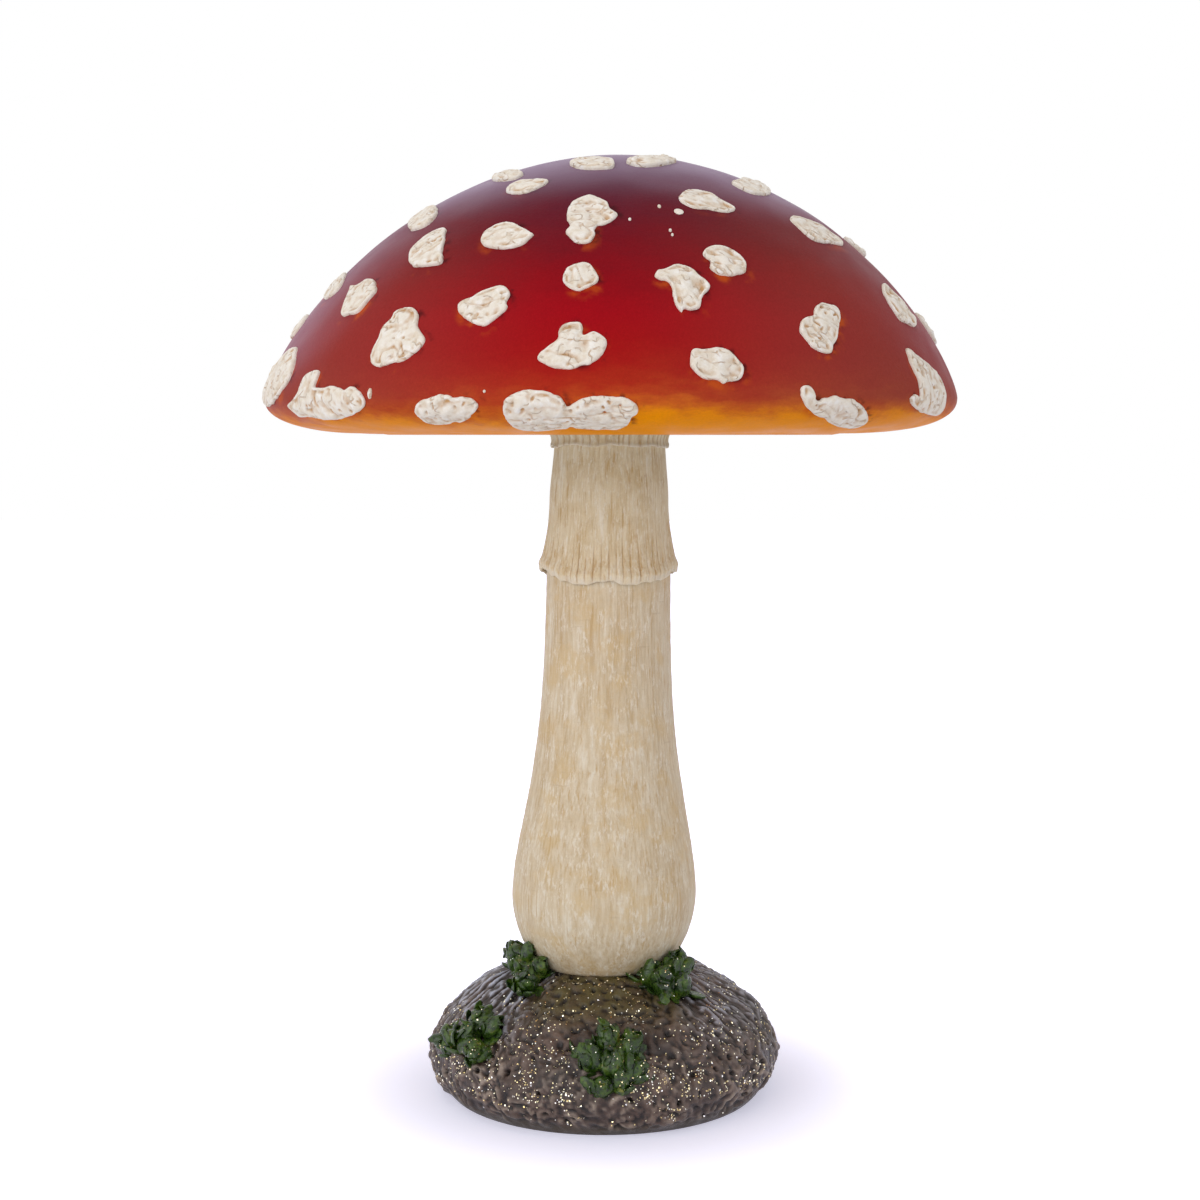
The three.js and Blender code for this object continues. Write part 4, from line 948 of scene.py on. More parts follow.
def wart_mesh(index, azimuth, share, stroke_turn, outline):
    """Points, faces and wash values of one wart."""
    low, high = np.min(outline, axis=0) - wart_margin, np.max(outline, axis=0) + wart_margin
    across, along = (np.arange(low[axis], high[axis], wart_grid) for axis in (0, 1))
    right, up = np.meshgrid(across, along, indexing="ij")
    local = np.stack([right, up, np.full(right.shape, wart_pattern_step * index)], axis=-1)
    away = edge_distance(outline, right, up)
    away += 0.25 * noise(local, 4.1, seed=8) + 0.18 * noise(local, 1.8, seed=9)
    slope_right, slope_up = np.gradient(away, wart_grid)
    steepness = np.maximum(np.hypot(slope_right, slope_up), 0.3)
    slope_right, slope_up = slope_right / steepness, slope_up / steepness

    within = away < 0
    quads = within[:-1, :-1] | within[1:, :-1] | within[:-1, 1:] | within[1:, 1:]
    drawn_in = np.maximum(away, 0) / steepness
    inside = np.maximum(-away, 0)
    roll = np.clip(1 - inside / edge_roll, 0, 1) * edge_turn
    outward = np.where(inside < edge_roll, inside - edge_roll * (1 - np.sin(roll)), 0) - drawn_in
    relief = wart_relief(local, inside, math.radians(stroke_turn))
    level = wart_edge_lift + wart_rise * smooth_step(0, 3, inside)
    top = np.minimum(level + relief, wart_most_lift) * np.cos(roll)
    wash = np.clip((averaged(relief, wart_wash_rounds) - relief) * wart_wash_strength, 0, 1)
    right, up = right + slope_right * outward, up + slope_up * outward

    distance = distance_at_share(share) - up
    turn = math.radians(azimuth) + right / skin_at(distance)[0]
    top_points = on_cap(turn, distance, top).reshape(-1, 3)
    root_points = on_cap(turn, distance, np.full(top.shape, -wart_root)).reshape(-1, 3)
    return close_patch(quads, right.shape, top_points, root_points, wash.ravel())


def close_patch(quads, shape, top_points, root_points, wash):
    """Joins a patch's top and root grids by a wall along its edge and drops unused points."""
    row, column = np.nonzero(quads)
    first = row * shape[1] + column
    top_faces = np.stack([first, first + shape[1], first + shape[1] + 1, first + 1], axis=-1)
    edges = np.concatenate([top_faces[:, [side, (side + 1) % 4]] for side in range(4)])
    codes = edges[:, 0] * shape[0] * shape[1] + edges[:, 1]
    mirrored = edges[:, 1] * shape[0] * shape[1] + edges[:, 0]
    rim = edges[~np.isin(codes, mirrored)]
    count = len(top_points)
    wall = np.stack([rim[:, 1], rim[:, 0], rim[:, 0] + count, rim[:, 1] + count], axis=-1)
    faces = np.concatenate([top_faces, top_faces[:, ::-1] + count, wall])
    used, renamed = np.unique(faces, return_inverse=True)
    points = np.concatenate([top_points, root_points])[used]
    return points, renamed.reshape(-1, 4), np.concatenate([wash, wash])[used]


for index, (name, azimuth, share, stroke_turn, outline) in enumerate(warts):
    points, faces, wash = wart_mesh(index, azimuth, share, stroke_turn, outline)
    make_piece(name + "_paste", points, faces, wart_paste, "wart_paste", [name], {"wash": wash},
               wart_crease)

# %% [markdown]
# A few specks of the paste fell on the cap while the warts were made. Each is a small dome
# with a root in the cap. The table gives its azimuth, its height on the cap in hundredths,
# and half its width and height in millimetres along the skin.

# %% Add the flecks of paste
fleck_spots = [(14.8, 72.25, 1.9, 2.0), (10.4, 74.0, 0.7, 1.2), (3.0, 69.0, 0.6, 0.9),
               (11.4, 65.25, 0.6, 0.8), (11.6, 63.75, 0.5, 0.7), (-38.0, 13.0, 1.0, 2.1),
               (-18.4, 13.25, 0.5, 0.6), (-5.6, 30.0, 0.4, 0.5)]
fleck_rings = [(1.0, -0.8), (1.0, 0.1), (0.75, 0.35), (0.4, 0.45)]
fleck_top = 0.5
fleck_sides = 14


def fleck_points(azimuth, share, half_width, half_height):
    """Rings of one fleck from its root to its top, and the middles of its root and top."""
    around = all_round(fleck_sides)
    rings = [(half_width * reach * np.cos(around), half_height * reach * np.sin(around), lift)
             for reach, lift in fleck_rings]
    rings += [(np.zeros(1), np.zeros(1), lift) for lift in (fleck_rings[0][1], fleck_top)]
    points = []
    for right, up, lift in rings:
        distance = distance_at_share(share) - up
        turn = math.radians(azimuth) + right / skin_at(distance)[0]
        points.append(on_cap(turn, distance, np.full(turn.shape, lift)))
    return np.concatenate(points)


def fleck_faces(first):
    """Faces of one fleck, whose first point has this number."""
    faces = []
    middle = first + len(fleck_rings) * fleck_sides
    for side in range(fleck_sides):
        beside = (side + 1) % fleck_sides
        for ring in range(len(fleck_rings) - 1):
            low, high = first + ring * fleck_sides, first + (ring + 1) * fleck_sides
            faces.append((low + side, low + beside, high + beside, high + side))
        faces.append((high + side, high + beside, middle + 1))
        faces.append((first + beside, first + side, middle))
    return faces


all_points = np.concatenate([fleck_points(*spot) for spot in fleck_spots])
all_faces = []
for first in range(0, len(all_points), len(all_points) // len(fleck_spots)):
    all_faces += fleck_faces(first)
make_piece("paste_flecks", all_points, all_faces, wart_paste, "wart_paste",
           attributes={"wash": np.zeros(len(all_points))})

# %% [markdown]
# ## The stem
# The stem is one casting: a bulb at the foot, a long taper and a neck that the skirt
# covers. It is painted cream and then dry-brushed up and down with ochre and off-white, and
# the bristles left fine ridges. The turned grid is fine round the stem, where the ridges
# are, and coarser along it.

# %% Rules for the stem's outline
bulb_radius = 40.9
bulb_height = 88.0
bulb_underside = 45.0
bulb_fade = 57.0
bulb_fade_power = 1.68
waist_radius = 27.2
neck_radius = 21.8
skirt_top = cap_level - 2.6
skirt_waist = cap_level - 29.0
skirt_hem = cap_level - 62.0
neck_end = cap_level - 27.0
tenon_radius = 17.0
rod_bore_radius = 5.3
glue_gap = 0.3
pattern_radius = 30.0
stem_low, stem_high = (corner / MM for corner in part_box("stem"))


def stem_radius(height):
    below = np.clip((bulb_height - height) / bulb_underside, 0, 1)
    bulb = bulb_radius * np.sqrt(1 - below**2)
    above = np.maximum(height - bulb_height, 0) / bulb_fade
    stalk = waist_radius + (bulb_radius - waist_radius) * np.exp(-(above**bulb_fade_power))
    stalk = stalk + (neck_radius - waist_radius) * smooth_step(skirt_hem, neck_end, height)
    return np.where(height < bulb_height, bulb, stalk)


def lean_stem(points):
    moved = points.copy()
    moved[..., 0] += stem_lean * (points[..., 2] - seat_level)
    return moved


print("stem radius at the bulb, waist and neck:",
      [round(float(stem_radius(height)), 1) for height in (bulb_height, 200.0, 280.0)])

# %% Turn the stem
stem_columns = 460
stem_rows = 170
stem_covered_rows = 8
stem_fine_top = skirt_hem + 6
round_stem = all_round(stem_columns)


def brushed(azimuth, height, *marks):
    """Ridges that run up the stem. Each mark gives their depth, width, length and seed."""
    total = 0
    for depth, width, length, seed in marks:
        ring = on_ring(pattern_radius, height * width / length, azimuth)
        total = total + depth * noise(ring, width, seed)
    return total


visible = np.concatenate([np.linspace(cap_level, stem_fine_top, stem_covered_rows)[:-1],
                          np.linspace(stem_fine_top, seat_level + glue_gap, stem_rows)])
height_grid, azimuth_grid = np.meshgrid(visible, round_stem, indexing="ij")
ridges = brushed(azimuth_grid, height_grid, (0.07, 1.1, 26, 21), (0.09, 3.0, 60, 22), (0.35, 17, 80, 23),
                 (0.07, 5, 2.6, 24))
ridges *= smooth_step(skirt_hem + 20, skirt_hem, height_grid)
stem_skin = on_ring(stem_radius(height_grid) + ridges, height_grid, azimuth_grid)
hidden = [(tenon_radius, seat_level + glue_gap), (tenon_radius, stem_low.z),
          (rod_bore_radius, stem_low.z), (rod_bore_radius, stem_high.z), (tenon_radius, stem_high.z),
          (tenon_radius, cap_level)]
tenons = np.stack([on_ring(radius, height, round_stem) for radius, height in hidden])
stem_grid = lean_stem(np.concatenate([stem_skin, tenons]))

# %% [markdown]
# A ramp gives the blend from sandy beige to pale cream, driven by two sets of dry-brush
# streaks of different widths. Over it lie tan blotches, chalky strokes, ochre hairs and
# hairline cracks across the stem, all from noise, most of it stretched along the stem or
# across it. Fine speckle keeps the paint from looking printed.

# %% Mix the stem paint
stem_paint, finish, shader, place = new_finish("stem paint")
wide_streaks = finish.streaks(place, 5.0, 9.0)
fine_streaks = finish.streaks(place, 1.3, 14.0)
streaks = wide_streaks * 0.55 + fine_streaks * 0.45
brushed_colour = finish.ramp(streaks, [
    (0.1, 198, 174, 136), (0.4, 210, 191, 158), (0.65, 219, 203, 174), (0.95, 228, 217, 194)])
blotch = finish.spread(finish.noise(place, 14, 4, 0.6), 0.45, 0.66, 0.0, 0.6)
chalk = finish.noise(finish.stretch(place, (1.0, 1.0, 0.3)), 1.1, 5, 0.7)
chalk_share = (finish.spread(chalk, 0.48, 0.64, 0.0, 0.65)
               * finish.patches(place, 9, 3, 0.4, 0.6, 0.2, 1.0))
hairs = finish.noise(finish.stretch(place, (1.0, 1.0, 0.05)), 1.1, 3, 0.6)
hair_share = (finish.spread(hairs, 0.54, 0.66, 0.0, 0.6)
              * finish.patches(place, 12, 3, 0.42, 0.6, 0.1, 1.0))
cracks = finish.noise(finish.stretch(place, (0.12, 0.12, 1.0)), 1.3, 3, 0.6)
crack_share = finish.spread(cracks, 0.62, 0.72, 0.0, 0.25)
cracked = finish.coats(brushed_colour, (blotch, (212, 184, 134)), (chalk_share, (238, 231, 216)),
                       (hair_share, (192, 156, 102)), (crack_share, (182, 158, 122)))
stem_colour = finish.speckled(cracked, place, 0.8, 0.18)
relief = fine_streaks + cracks * -0.4
paint(shader, {"Base Color": stem_colour, "Normal": finish.bump(relief, 0.12),
               "Roughness": finish.spread(streaks, 0.2, 0.8, 0.55, 0.72)}, Specular_IOR_Level=0.35)
make_turned("stem_casting", stem_grid, stem_paint, "stem_paint", ["stem"])

# %% [markdown]
# ## The skirt
# The skirt is a sleeve that flares to a thick torn hem. Its lower half is cut by about
# fifty upright grooves, which deepen towards the hem and differ in width. The hem's height
# and how far it stands out change round the stem, with two separate tips at the sides, so
# both are read from a short list of stations, with the grooves added as a formula.

# %% Rules for the skirt
skirt_top_radius = 24.3
skirt_waist_radius = 26.3
skirt_hem_radius = 31.0
hem_thickness = 1.5
flare_power = 1.9
pleats = 52
hem_stations = np.array([
    (-180, -0.5, 0.2), (-150, 0.8, -0.4), (-118, -0.4, 0), (-92, 2.2, 0.2), (-74, 3.6, -0.8),
    (-56, 1, -1), (-42, -0.9, -0.8), (-24, -2.2, -0.6), (0, -0.4, -1), (17, -2.2, -0.6), (40, -1.1, -0.8),
    (57, -0.4, -1), (72, 2.2, -0.6), (92, 1.6, 0.3), (122, -0.6, 0), (152, 0.6, -0.5), (180, -0.5, 0.2)])


def hem_at(azimuth):
    """How far the hem lies above its mean height, and how far it stands out."""
    degrees = (np.degrees(azimuth) + 180) % 360 - 180
    after = np.clip(np.searchsorted(hem_stations[:, 0], degrees, side="right"), 1, len(hem_stations) - 1)
    start, stop = hem_stations[after - 1], hem_stations[after]
    share = smooth_step(start[..., 0], stop[..., 0], degrees)[..., None]
    return np.moveaxis(start[..., 1:] + (stop[..., 1:] - start[..., 1:]) * share, -1, 0)


def skirt_outer_radius(height):
    tube = (skirt_top_radius
            + (skirt_waist_radius - skirt_top_radius) * smooth_step(skirt_top, skirt_waist, height))
    drop = np.clip((skirt_waist - height) / (skirt_waist - skirt_hem), 0, None)
    return tube + (skirt_hem_radius - skirt_waist_radius) * drop**flare_power


def skirt_inner_radius(height):
    hanging = skirt_outer_radius(height) - hem_thickness
    seated = stem_radius(height) + glue_gap
    return seated + (hanging - seated) * smooth_step(neck_end, skirt_hem, height)


def grooves(azimuth, height):
    """Depth of the upright grooves, 0 to 1. Their spacing and width wander."""
    wander = noise(on_ring(pattern_radius, height * 0.05, azimuth), 11, seed=31)
    across = azimuth * pleats / 2 + wander * 1.6
    narrow = 1 - np.abs(np.sin(across))
    strength = 0.65 + 0.5 * noise(on_ring(pattern_radius, height * 0.1, azimuth), 5, seed=32)
    start = 9 * noise(on_ring(pattern_radius, 0.0, azimuth), 5, seed=33)
    grown = smooth_step(skirt_hem + 23 + start, skirt_hem + 8, height)
    return narrow**5 * np.clip(strength, 0.15, 1) * grown


print("hem height at the front:", round(float(skirt_hem + hem_at(np.array(0.0))[0]), 1), "mm")

# %% Turn the skirt
skirt_columns = 760
groove_depth = 0.75
scallop_depth = 0.55
lip_start = skirt_hem + 1
lip_drop = 1.3
tube_rows = 20
flare_rows = 46
lip_rows = 7
inner_rows = 14
round_skirt = all_round(skirt_columns)
outside = np.concatenate([np.linspace(skirt_top, skirt_waist, tube_rows)[:-1],
                          np.linspace(skirt_waist, lip_start, flare_rows)])
height_grid, azimuth_grid = np.meshgrid(outside, round_skirt, indexing="ij")
depth = grooves(azimuth_grid, height_grid)
streak = brushed(azimuth_grid, height_grid, (0.05, 1.2, 18, 34), (0.08, 3.4, 40, 35), (0.30, 9, 22, 36))
swell = 0.6 * smooth_step(skirt_hem + 8, skirt_hem + 4, height_grid)
thinning = 0.9 * smooth_step(skirt_hem + 3.5, lip_start, height_grid)
outer_radius = skirt_outer_radius(height_grid) - groove_depth * depth + streak + (swell - thinning)
skirt_rings = [on_ring(outer_radius, height_grid, azimuth_grid)]
lip_turn = np.linspace(0, math.pi, lip_rows + 2)[1:-1, None]
lip_outer = outer_radius[-1][None, :]
lip_inner = np.broadcast_to(skirt_inner_radius(lip_start), lip_outer.shape)
lip_radius = (lip_outer + lip_inner) / 2 + (lip_outer - lip_inner) / 2 * np.cos(lip_turn)
lip_height = lip_start - lip_drop * np.sin(lip_turn) + 0 * lip_outer
skirt_rings.append(on_ring(lip_radius, lip_height, round_skirt[None, :]))
inside = np.concatenate([np.linspace(lip_start, neck_end, inner_rows), [skirt_top]])
skirt_rings.append(on_ring(skirt_inner_radius(inside)[:, None], inside[:, None], round_skirt[None, :]))
skirt_grid = np.concatenate(skirt_rings)


def follow_hem(points):
    """Moves points of the skirt to the hem's own height and reach, fading out upwards."""
    azimuth = np.arctan2(points[..., 0], -points[..., 1])
    rise, stand = hem_at(azimuth)
    scallop = (scallop_depth * np.abs(np.sin(azimuth * pleats / 4 + 0.8))
               * smooth_step(skirt_hem + 5, skirt_hem, points[..., 2]))
    low = 1 - smooth_step(skirt_hem, skirt_waist, points[..., 2])
    radius = np.hypot(points[..., 0], points[..., 1])
    moved = points * ((radius + stand * low) / radius)[..., None]
    moved[..., 2] = points[..., 2] + rise * low + scallop
    return moved


hollow = on_first_rows(skirt_grid, depth)
lip_mask = on_first_rows(skirt_grid, smooth_step(skirt_hem + 3.2, skirt_hem + 1.2, height_grid),
                         np.ones((lip_rows, skirt_columns)))
skirt_points = lean_stem(follow_hem(skirt_grid))
print("skirt grid", skirt_grid.shape)

# %% [markdown]
# The skirt is the same cream as the stem, with blotches, chalky strokes and ochre hairs.
# The grooves hold a brown wash, and the lip of the hem is rubbed nearly white.

# %% Mix the skirt paint
skirt_paint, finish, shader, place = new_finish("skirt paint")
wide_streaks = finish.streaks(place, 4.0, 8.0)
fine_streaks = finish.streaks(place, 1.1, 16.0)
streaks = wide_streaks * 0.5 + fine_streaks * 0.5
tan = finish.ramp(streaks, [
    (0.1, 212, 190, 150), (0.4, 224, 206, 170), (0.65, 231, 216, 184), (0.95, 240, 229, 206)])
blotch = finish.spread(finish.noise(place, 9, 4, 0.6), 0.45, 0.68, 0.0, 0.5)
chalk = finish.noise(finish.stretch(place, (1.0, 1.0, 0.25)), 1.0, 5, 0.7)
hairs = finish.noise(finish.stretch(place, (1.0, 1.0, 0.05)), 1.2, 3, 0.6)
hair_share = finish.spread(hairs, 0.53, 0.64, 0.0, 0.7) * finish.patches(place, 9, 3, 0.4, 0.6, 0.15, 1.0)
lined = finish.coats(tan, (blotch, (206, 180, 132)),
                     (finish.spread(chalk, 0.5, 0.66, 0.0, 0.7), (240, 232, 214)),
                     (hair_share, (196, 160, 104)))
wash_and_shade_hollows = finish.wash_and_shade_hollows(lined, (172, 126, 60), finish.attribute("hollow"), 0.9)
lip_share = finish.attribute("lip") * finish.patches(place, 4, 3, 0.35, 0.65, 0.15, 0.7)
rubbed = finish.coats(wash_and_shade_hollows, (lip_share, (228, 218, 200)))
skirt_colour = finish.speckled(rubbed, place, 0.8, 0.2)
paint(shader, {"Base Color": skirt_colour, "Normal": finish.bump(fine_streaks, 0.12),
               "Roughness": finish.spread(streaks, 0.2, 0.8, 0.58, 0.75)}, Specular_IOR_Level=0.35)
make_turned("skirt_casting", skirt_points, skirt_paint, "skirt_paint", ["skirt"],
            {"hollow": hollow, "lip": lip_mask})

# %% [markdown]
# ## The neck collar
# Where the stem meets the cap there is a short torn cuff. It laps over the top of the
# skirt, flares out to the gills and has short upright grooves and a ragged lower lip.

# %% Turn the collar
collar_columns = 420
collar_inner = skirt_top_radius + 0.5
collar_thickness = 0.9
collar_flare = 3.0
collar_bottom = cap_level - 4.8
collar_top = cap_level + 5.9
collar_over = skirt_top + 0.5
collar_rows = 18
collar_lip_rows = 4
collar_lip_drop = 0.35
collar_pleats = 24
collar_pattern_radius = 26.0
round_collar = all_round(collar_columns)
rows = np.linspace(collar_top, collar_bottom, collar_rows)
height_grid, azimuth_grid = np.meshgrid(rows, round_collar, indexing="ij")
flare = collar_flare * smooth_step(cap_level - 2.5, collar_top, height_grid)
wander = noise(on_ring(collar_pattern_radius, 0.0, azimuth_grid), 9, seed=41)
pleat = 1 - np.abs(np.sin(azimuth_grid * collar_pleats + 2.2 * wander))
streak = brushed(azimuth_grid, height_grid, (0.25, 4, 8, 42))
swell = 0.35 * smooth_step(collar_bottom + 1.6, collar_bottom + 0.4, height_grid)
outer_radius = collar_inner + collar_thickness + flare - 0.4 * pleat**2 + streak + swell
ragged = (0.9 * np.sin(round_collar * 3 + 1) * np.cos(round_collar * 5)
          + 0.35 * noise(on_ring(collar_pattern_radius, 0.0, round_collar), 3, seed=43))
low_share = smooth_step(collar_top - 4, collar_bottom, height_grid)
collar_rings = [on_ring(outer_radius, height_grid + ragged * low_share, azimuth_grid)]
lip_turn = np.linspace(0, math.pi, collar_lip_rows + 2)[1:-1, None]
lip_radius = ((outer_radius[-1] + collar_inner) / 2
              + (outer_radius[-1] - collar_inner) / 2 * np.cos(lip_turn))
collar_rings.append(on_ring(lip_radius, collar_bottom - collar_lip_drop * np.sin(lip_turn) + ragged,
                            round_collar[None, :]))
cuff_rings = [(collar_inner, collar_bottom, 1), (collar_inner, collar_over, 0),
              (neck_radius + glue_gap, collar_over, 0), (neck_radius + glue_gap, collar_top, 0)]
for radius, height, torn in cuff_rings:
    collar_rings.append(on_ring(radius, height + ragged * torn, round_collar)[None])
collar_grid = np.concatenate(collar_rings)
hollow = on_first_rows(collar_grid, pleat**2 * 0.7)
lip_mask = on_first_rows(collar_grid, smooth_step(collar_bottom + 1.3, collar_bottom + 0.3, height_grid),
                         np.ones((collar_lip_rows, collar_columns)))
make_turned("collar_casting", lean_stem(collar_grid), skirt_paint, "skirt_paint", ["neck_collar"],
            {"hollow": hollow, "lip": lip_mask})

# %% [markdown]
# ## The underside and its gills
# Below the cap a dished plate carries the gills: thin upright blades that run from the
# stem to the rim, with short ones between the long ones. They repeat round the stem, so
# Geometry Nodes make them: one tree with named sizes builds a blade from a thin box, bends
# it to the dish of the plate, turns copies of it round the stem and makes them real.

# %% Helpers for Geometry Nodes
grown_crease = 45
socket_kinds = {int: "Int", float: "Float", tuple: "Vector", type(None): "Material"}


class Plan(Finish):
    """A geometry node tree in metres, whose named inputs have the kinds of their values."""

    def __init__(self, name, inputs):
        tree = bpy.data.node_groups.new(name, "GeometryNodeTree")
        super().__init__(tree)
        tree.interface.new_socket("Geometry", in_out="INPUT", socket_type="NodeSocketGeometry")
        for label, value in inputs.items():
            kind = "NodeSocket" + socket_kinds[type(value)]
            socket = tree.interface.new_socket(label, in_out="INPUT", socket_type=kind)
            if value is not None:
                socket.default_value = value
        tree.interface.new_socket("Geometry", in_out="OUTPUT", socket_type="NodeSocketGeometry")
        self.given = self.outputs(tree.nodes.new("NodeGroupInput"))

    def end(self, shape, material):
        """Makes the copies real, sets their material and ends the tree."""
        real = self.out("GeometryNodeRealizeInstances", {"Geometry": shape})
        set_up = self.out("GeometryNodeSetMaterial", {"Geometry": real, "Material": material})
        set_up.join(self.tree.nodes.new("NodeGroupOutput").inputs[0])


def grow(name, plan, values, base=None, replaced=()):
    """Runs a plan on a base mesh and hands its result over as a plain mesh piece."""
    holder = bpy.data.objects.new(name, base or bpy.data.meshes.new(name))
    scene.collection.objects.link(holder)
    modifier = holder.modifiers.new(name, "NODES")
    modifier.node_group = plan.tree
    identifiers = {item.name: item.identifier for item in plan.tree.interface.items_tree
                   if item.in_out == "INPUT"}
    for label, value in values.items():
        modifier[identifiers[label]] = value
    depsgraph = bpy.context.evaluated_depsgraph_get()
    result = bpy.data.meshes.new_from_object(holder.evaluated_get(depsgraph))
    holder.modifiers.remove(modifier)
    holder.data = result
    result.shade_smooth()
    result.set_sharp_from_angle(angle=math.radians(grown_crease))
    hand_over(holder, replaced)
    return holder


print("geometry node helper ready")

# %% Shape the gill plate
gill_depth = 5.0
gill_root = 0.4
gill_rise = 1.2
gill_dish = 2.5
socket_radius = 17.3
plate_radius = rim_flat_radius - cap_lip - glue_gap
plate_thickness = 3.5
plate_columns = 240
plate_rows = 30
tenon_stop = 4.0
boss_wall = 9.0
boss_foot = 18.0
boss_height = 14.0


def root_height(radius):
    """Height of the plate's underside above the rim's level, where the gills are rooted."""
    share = (radius - socket_radius) / (plate_radius - socket_radius)
    return gill_rise + gill_dish * np.sin(share * math.pi) + gill_depth


under = np.linspace(plate_radius, socket_radius, plate_rows)
plate_outline = [(radius, root_height(radius)) for radius in under]
socket_top = stem_high.z - cap_level + glue_gap
plate_outline += [(socket_radius, socket_top), (rod_bore_radius, socket_top),
                  (rod_bore_radius, socket_top + tenon_stop)]
plate_top = root_height(plate_radius) + plate_thickness
roof = [(socket_radius + boss_wall, socket_top + boss_height),
        (socket_radius + boss_foot, plate_top + gill_dish), (plate_radius, plate_top)]
round_plate = all_round(plate_columns)


def place_plate(outline):
    """Rings of an outline. The socket leans with the stem and the rest sits with the cap."""
    rings = []
    for radius, height in outline:
        ring = on_ring(radius, cap_level + height, round_plate)
        if radius <= socket_radius:
            ring = lean_stem(ring)
        else:
            ring[:, 0] += cap_shift
        rings.append(ring)
    return np.stack(rings)


plate_rings = place_plate(plate_outline + roof)
inner_end = len(plate_outline) - 1
plate_faces = [face for face in turned_faces(len(plate_rings), plate_columns, closes=True)
               if face[0] // plate_columns != inner_end]
ring_a = [inner_end * plate_columns + step for step in range(plate_columns)]
ring_b = [(inner_end + 1) * plate_columns + step for step in range(plate_columns)]
plate_faces += [ring_a[::-1], ring_b]
print("gill plate grid", plate_rings.shape)

# %% [markdown]
# The gills are cream like the stem, with painted shade that darkens them towards their roots, deep
# between the blades.

# %% Mix the gill paint
gill_paint, finish, shader, place = new_finish("gill paint")
tone = finish.ramp(finish.noise(place, 6, 4, 0.6), [
    (0.3, 198, 178, 142), (0.55, 214, 197, 164), (0.8, 224, 211, 184)])
# Painted shade: darker higher up, towards the roots deep between the blades.
deep = finish.spread(finish.split(place)["Z"] - cap_level, 3.0, 8.5, 0.0, 0.65)
root_shaded = finish.coats(tone, (deep, (160, 134, 96)))
grit = finish.group("speckle", Place=place, Size=0.9, Contrast=0.3)
gill_colour = finish.scaled(root_shaded, grit)
paint(shader, {"Base Color": gill_colour, "Normal": finish.bump(grit, 0.15),
               "Roughness": finish.spread(grit, 0.8, 1.2, 0.6, 0.8)}, Specular_IOR_Level=0.3)
make_piece("gill_plate_casting", plate_rings, plate_faces, gill_paint, "gill_paint", ["gill_plate"])

# %% Plan the gill blades
plan = Plan("gill blades", {
    "Count": 96, "Inner radius": 0.03, "Outer radius": 0.09, "Depth": 0.005, "Thickness": 0.001,
    "Dish": 0.0025, "Socket radius": 0.0173, "Plate radius": 0.0965, "Root": 0.3, "Shift": 0.0, "Seed": 1,
    "Paint": None})
given = plan.given
length = given["Outer radius"] - given["Inner radius"]
middle = (given["Outer radius"] + given["Inner radius"]) * 0.5
box_size = plan.out("ShaderNodeCombineXYZ", {"X": length, "Y": given["Thickness"], "Z": given["Depth"]})
blade = plan.out("GeometryNodeMeshCube",
                 {"Size": box_size, "Vertices X": 14, "Vertices Y": 2, "Vertices Z": 4})
spot = plan.split(plan.out("GeometryNodeInputPosition", {}))
reach = spot["X"] + middle
span = given["Plate radius"] - given["Socket radius"]
share = (reach - given["Socket radius"]) / span
dished = plan.math("SINE", share * math.pi) * given["Dish"]
half_depth = given["Depth"] * 0.5
rise = dished - half_depth + given["Root"]
ends = plan.math("ABSOLUTE", spot["X"]) / (length * 0.5)
lift = plan.math("POWER", ends, 5.0) * given["Depth"]
low_edge = plan.math("SUBTRACT", 0.5, spot["Z"] / given["Depth"], clamp=True)
rounded = lift * (low_edge * 0.75)
thin = spot["Y"] * low_edge * -0.6
move = plan.out("ShaderNodeCombineXYZ", {"X": middle, "Y": thin, "Z": rise + rounded})
shaped = plan.out("GeometryNodeSetPosition", {"Geometry": blade, "Offset": move})
points = plan.out("GeometryNodePoints", {"Count": given["Count"]})
index = plan.out("GeometryNodeInputIndex", {})
wobble = plan.out("FunctionNodeRandomValue", {2: -0.28, 3: 0.28, "Seed": given["Seed"]}, 1)
turn = (index + wobble) / given["Count"] * (2 * math.pi)
facing = plan.out("ShaderNodeCombineXYZ", {"Z": turn})
copies = plan.out("GeometryNodeInstanceOnPoints",
                  {"Points": points, "Instance": shaped, "Rotation": facing})
shift = plan.out("ShaderNodeCombineXYZ", {"X": given["Shift"]})
placed = plan.out("GeometryNodeTranslateInstances",
                  {"Instances": copies, "Translation": shift, "Local Space": False})
plan.end(placed, given["Paint"])
print("blade plan has", len(plan.tree.nodes), "nodes")

# %% Grow the gills
collar_edge = collar_inner + collar_thickness + collar_flare
shared = {"Depth": (gill_depth + gill_root) * MM, "Dish": gill_dish * MM,
          "Socket radius": socket_radius * MM, "Plate radius": plate_radius * MM, "Shift": cap_shift * MM,
          "Paint": gill_paint, "Root": (cap_level + gill_rise + gill_depth + gill_root) * MM}
grow("long_gills", plan, shared | {
    "Count": 110, "Inner radius": (collar_edge + 1.2) * MM, "Outer radius": (plate_radius - 2) * MM,
    "Thickness": 1.1 * MM, "Seed": 5})
grow("short_gills", plan, shared | {
    "Count": 220, "Inner radius": 62 * MM, "Outer radius": (plate_radius - 2.5) * MM,
    "Thickness": 0.9 * MM, "Seed": 9})
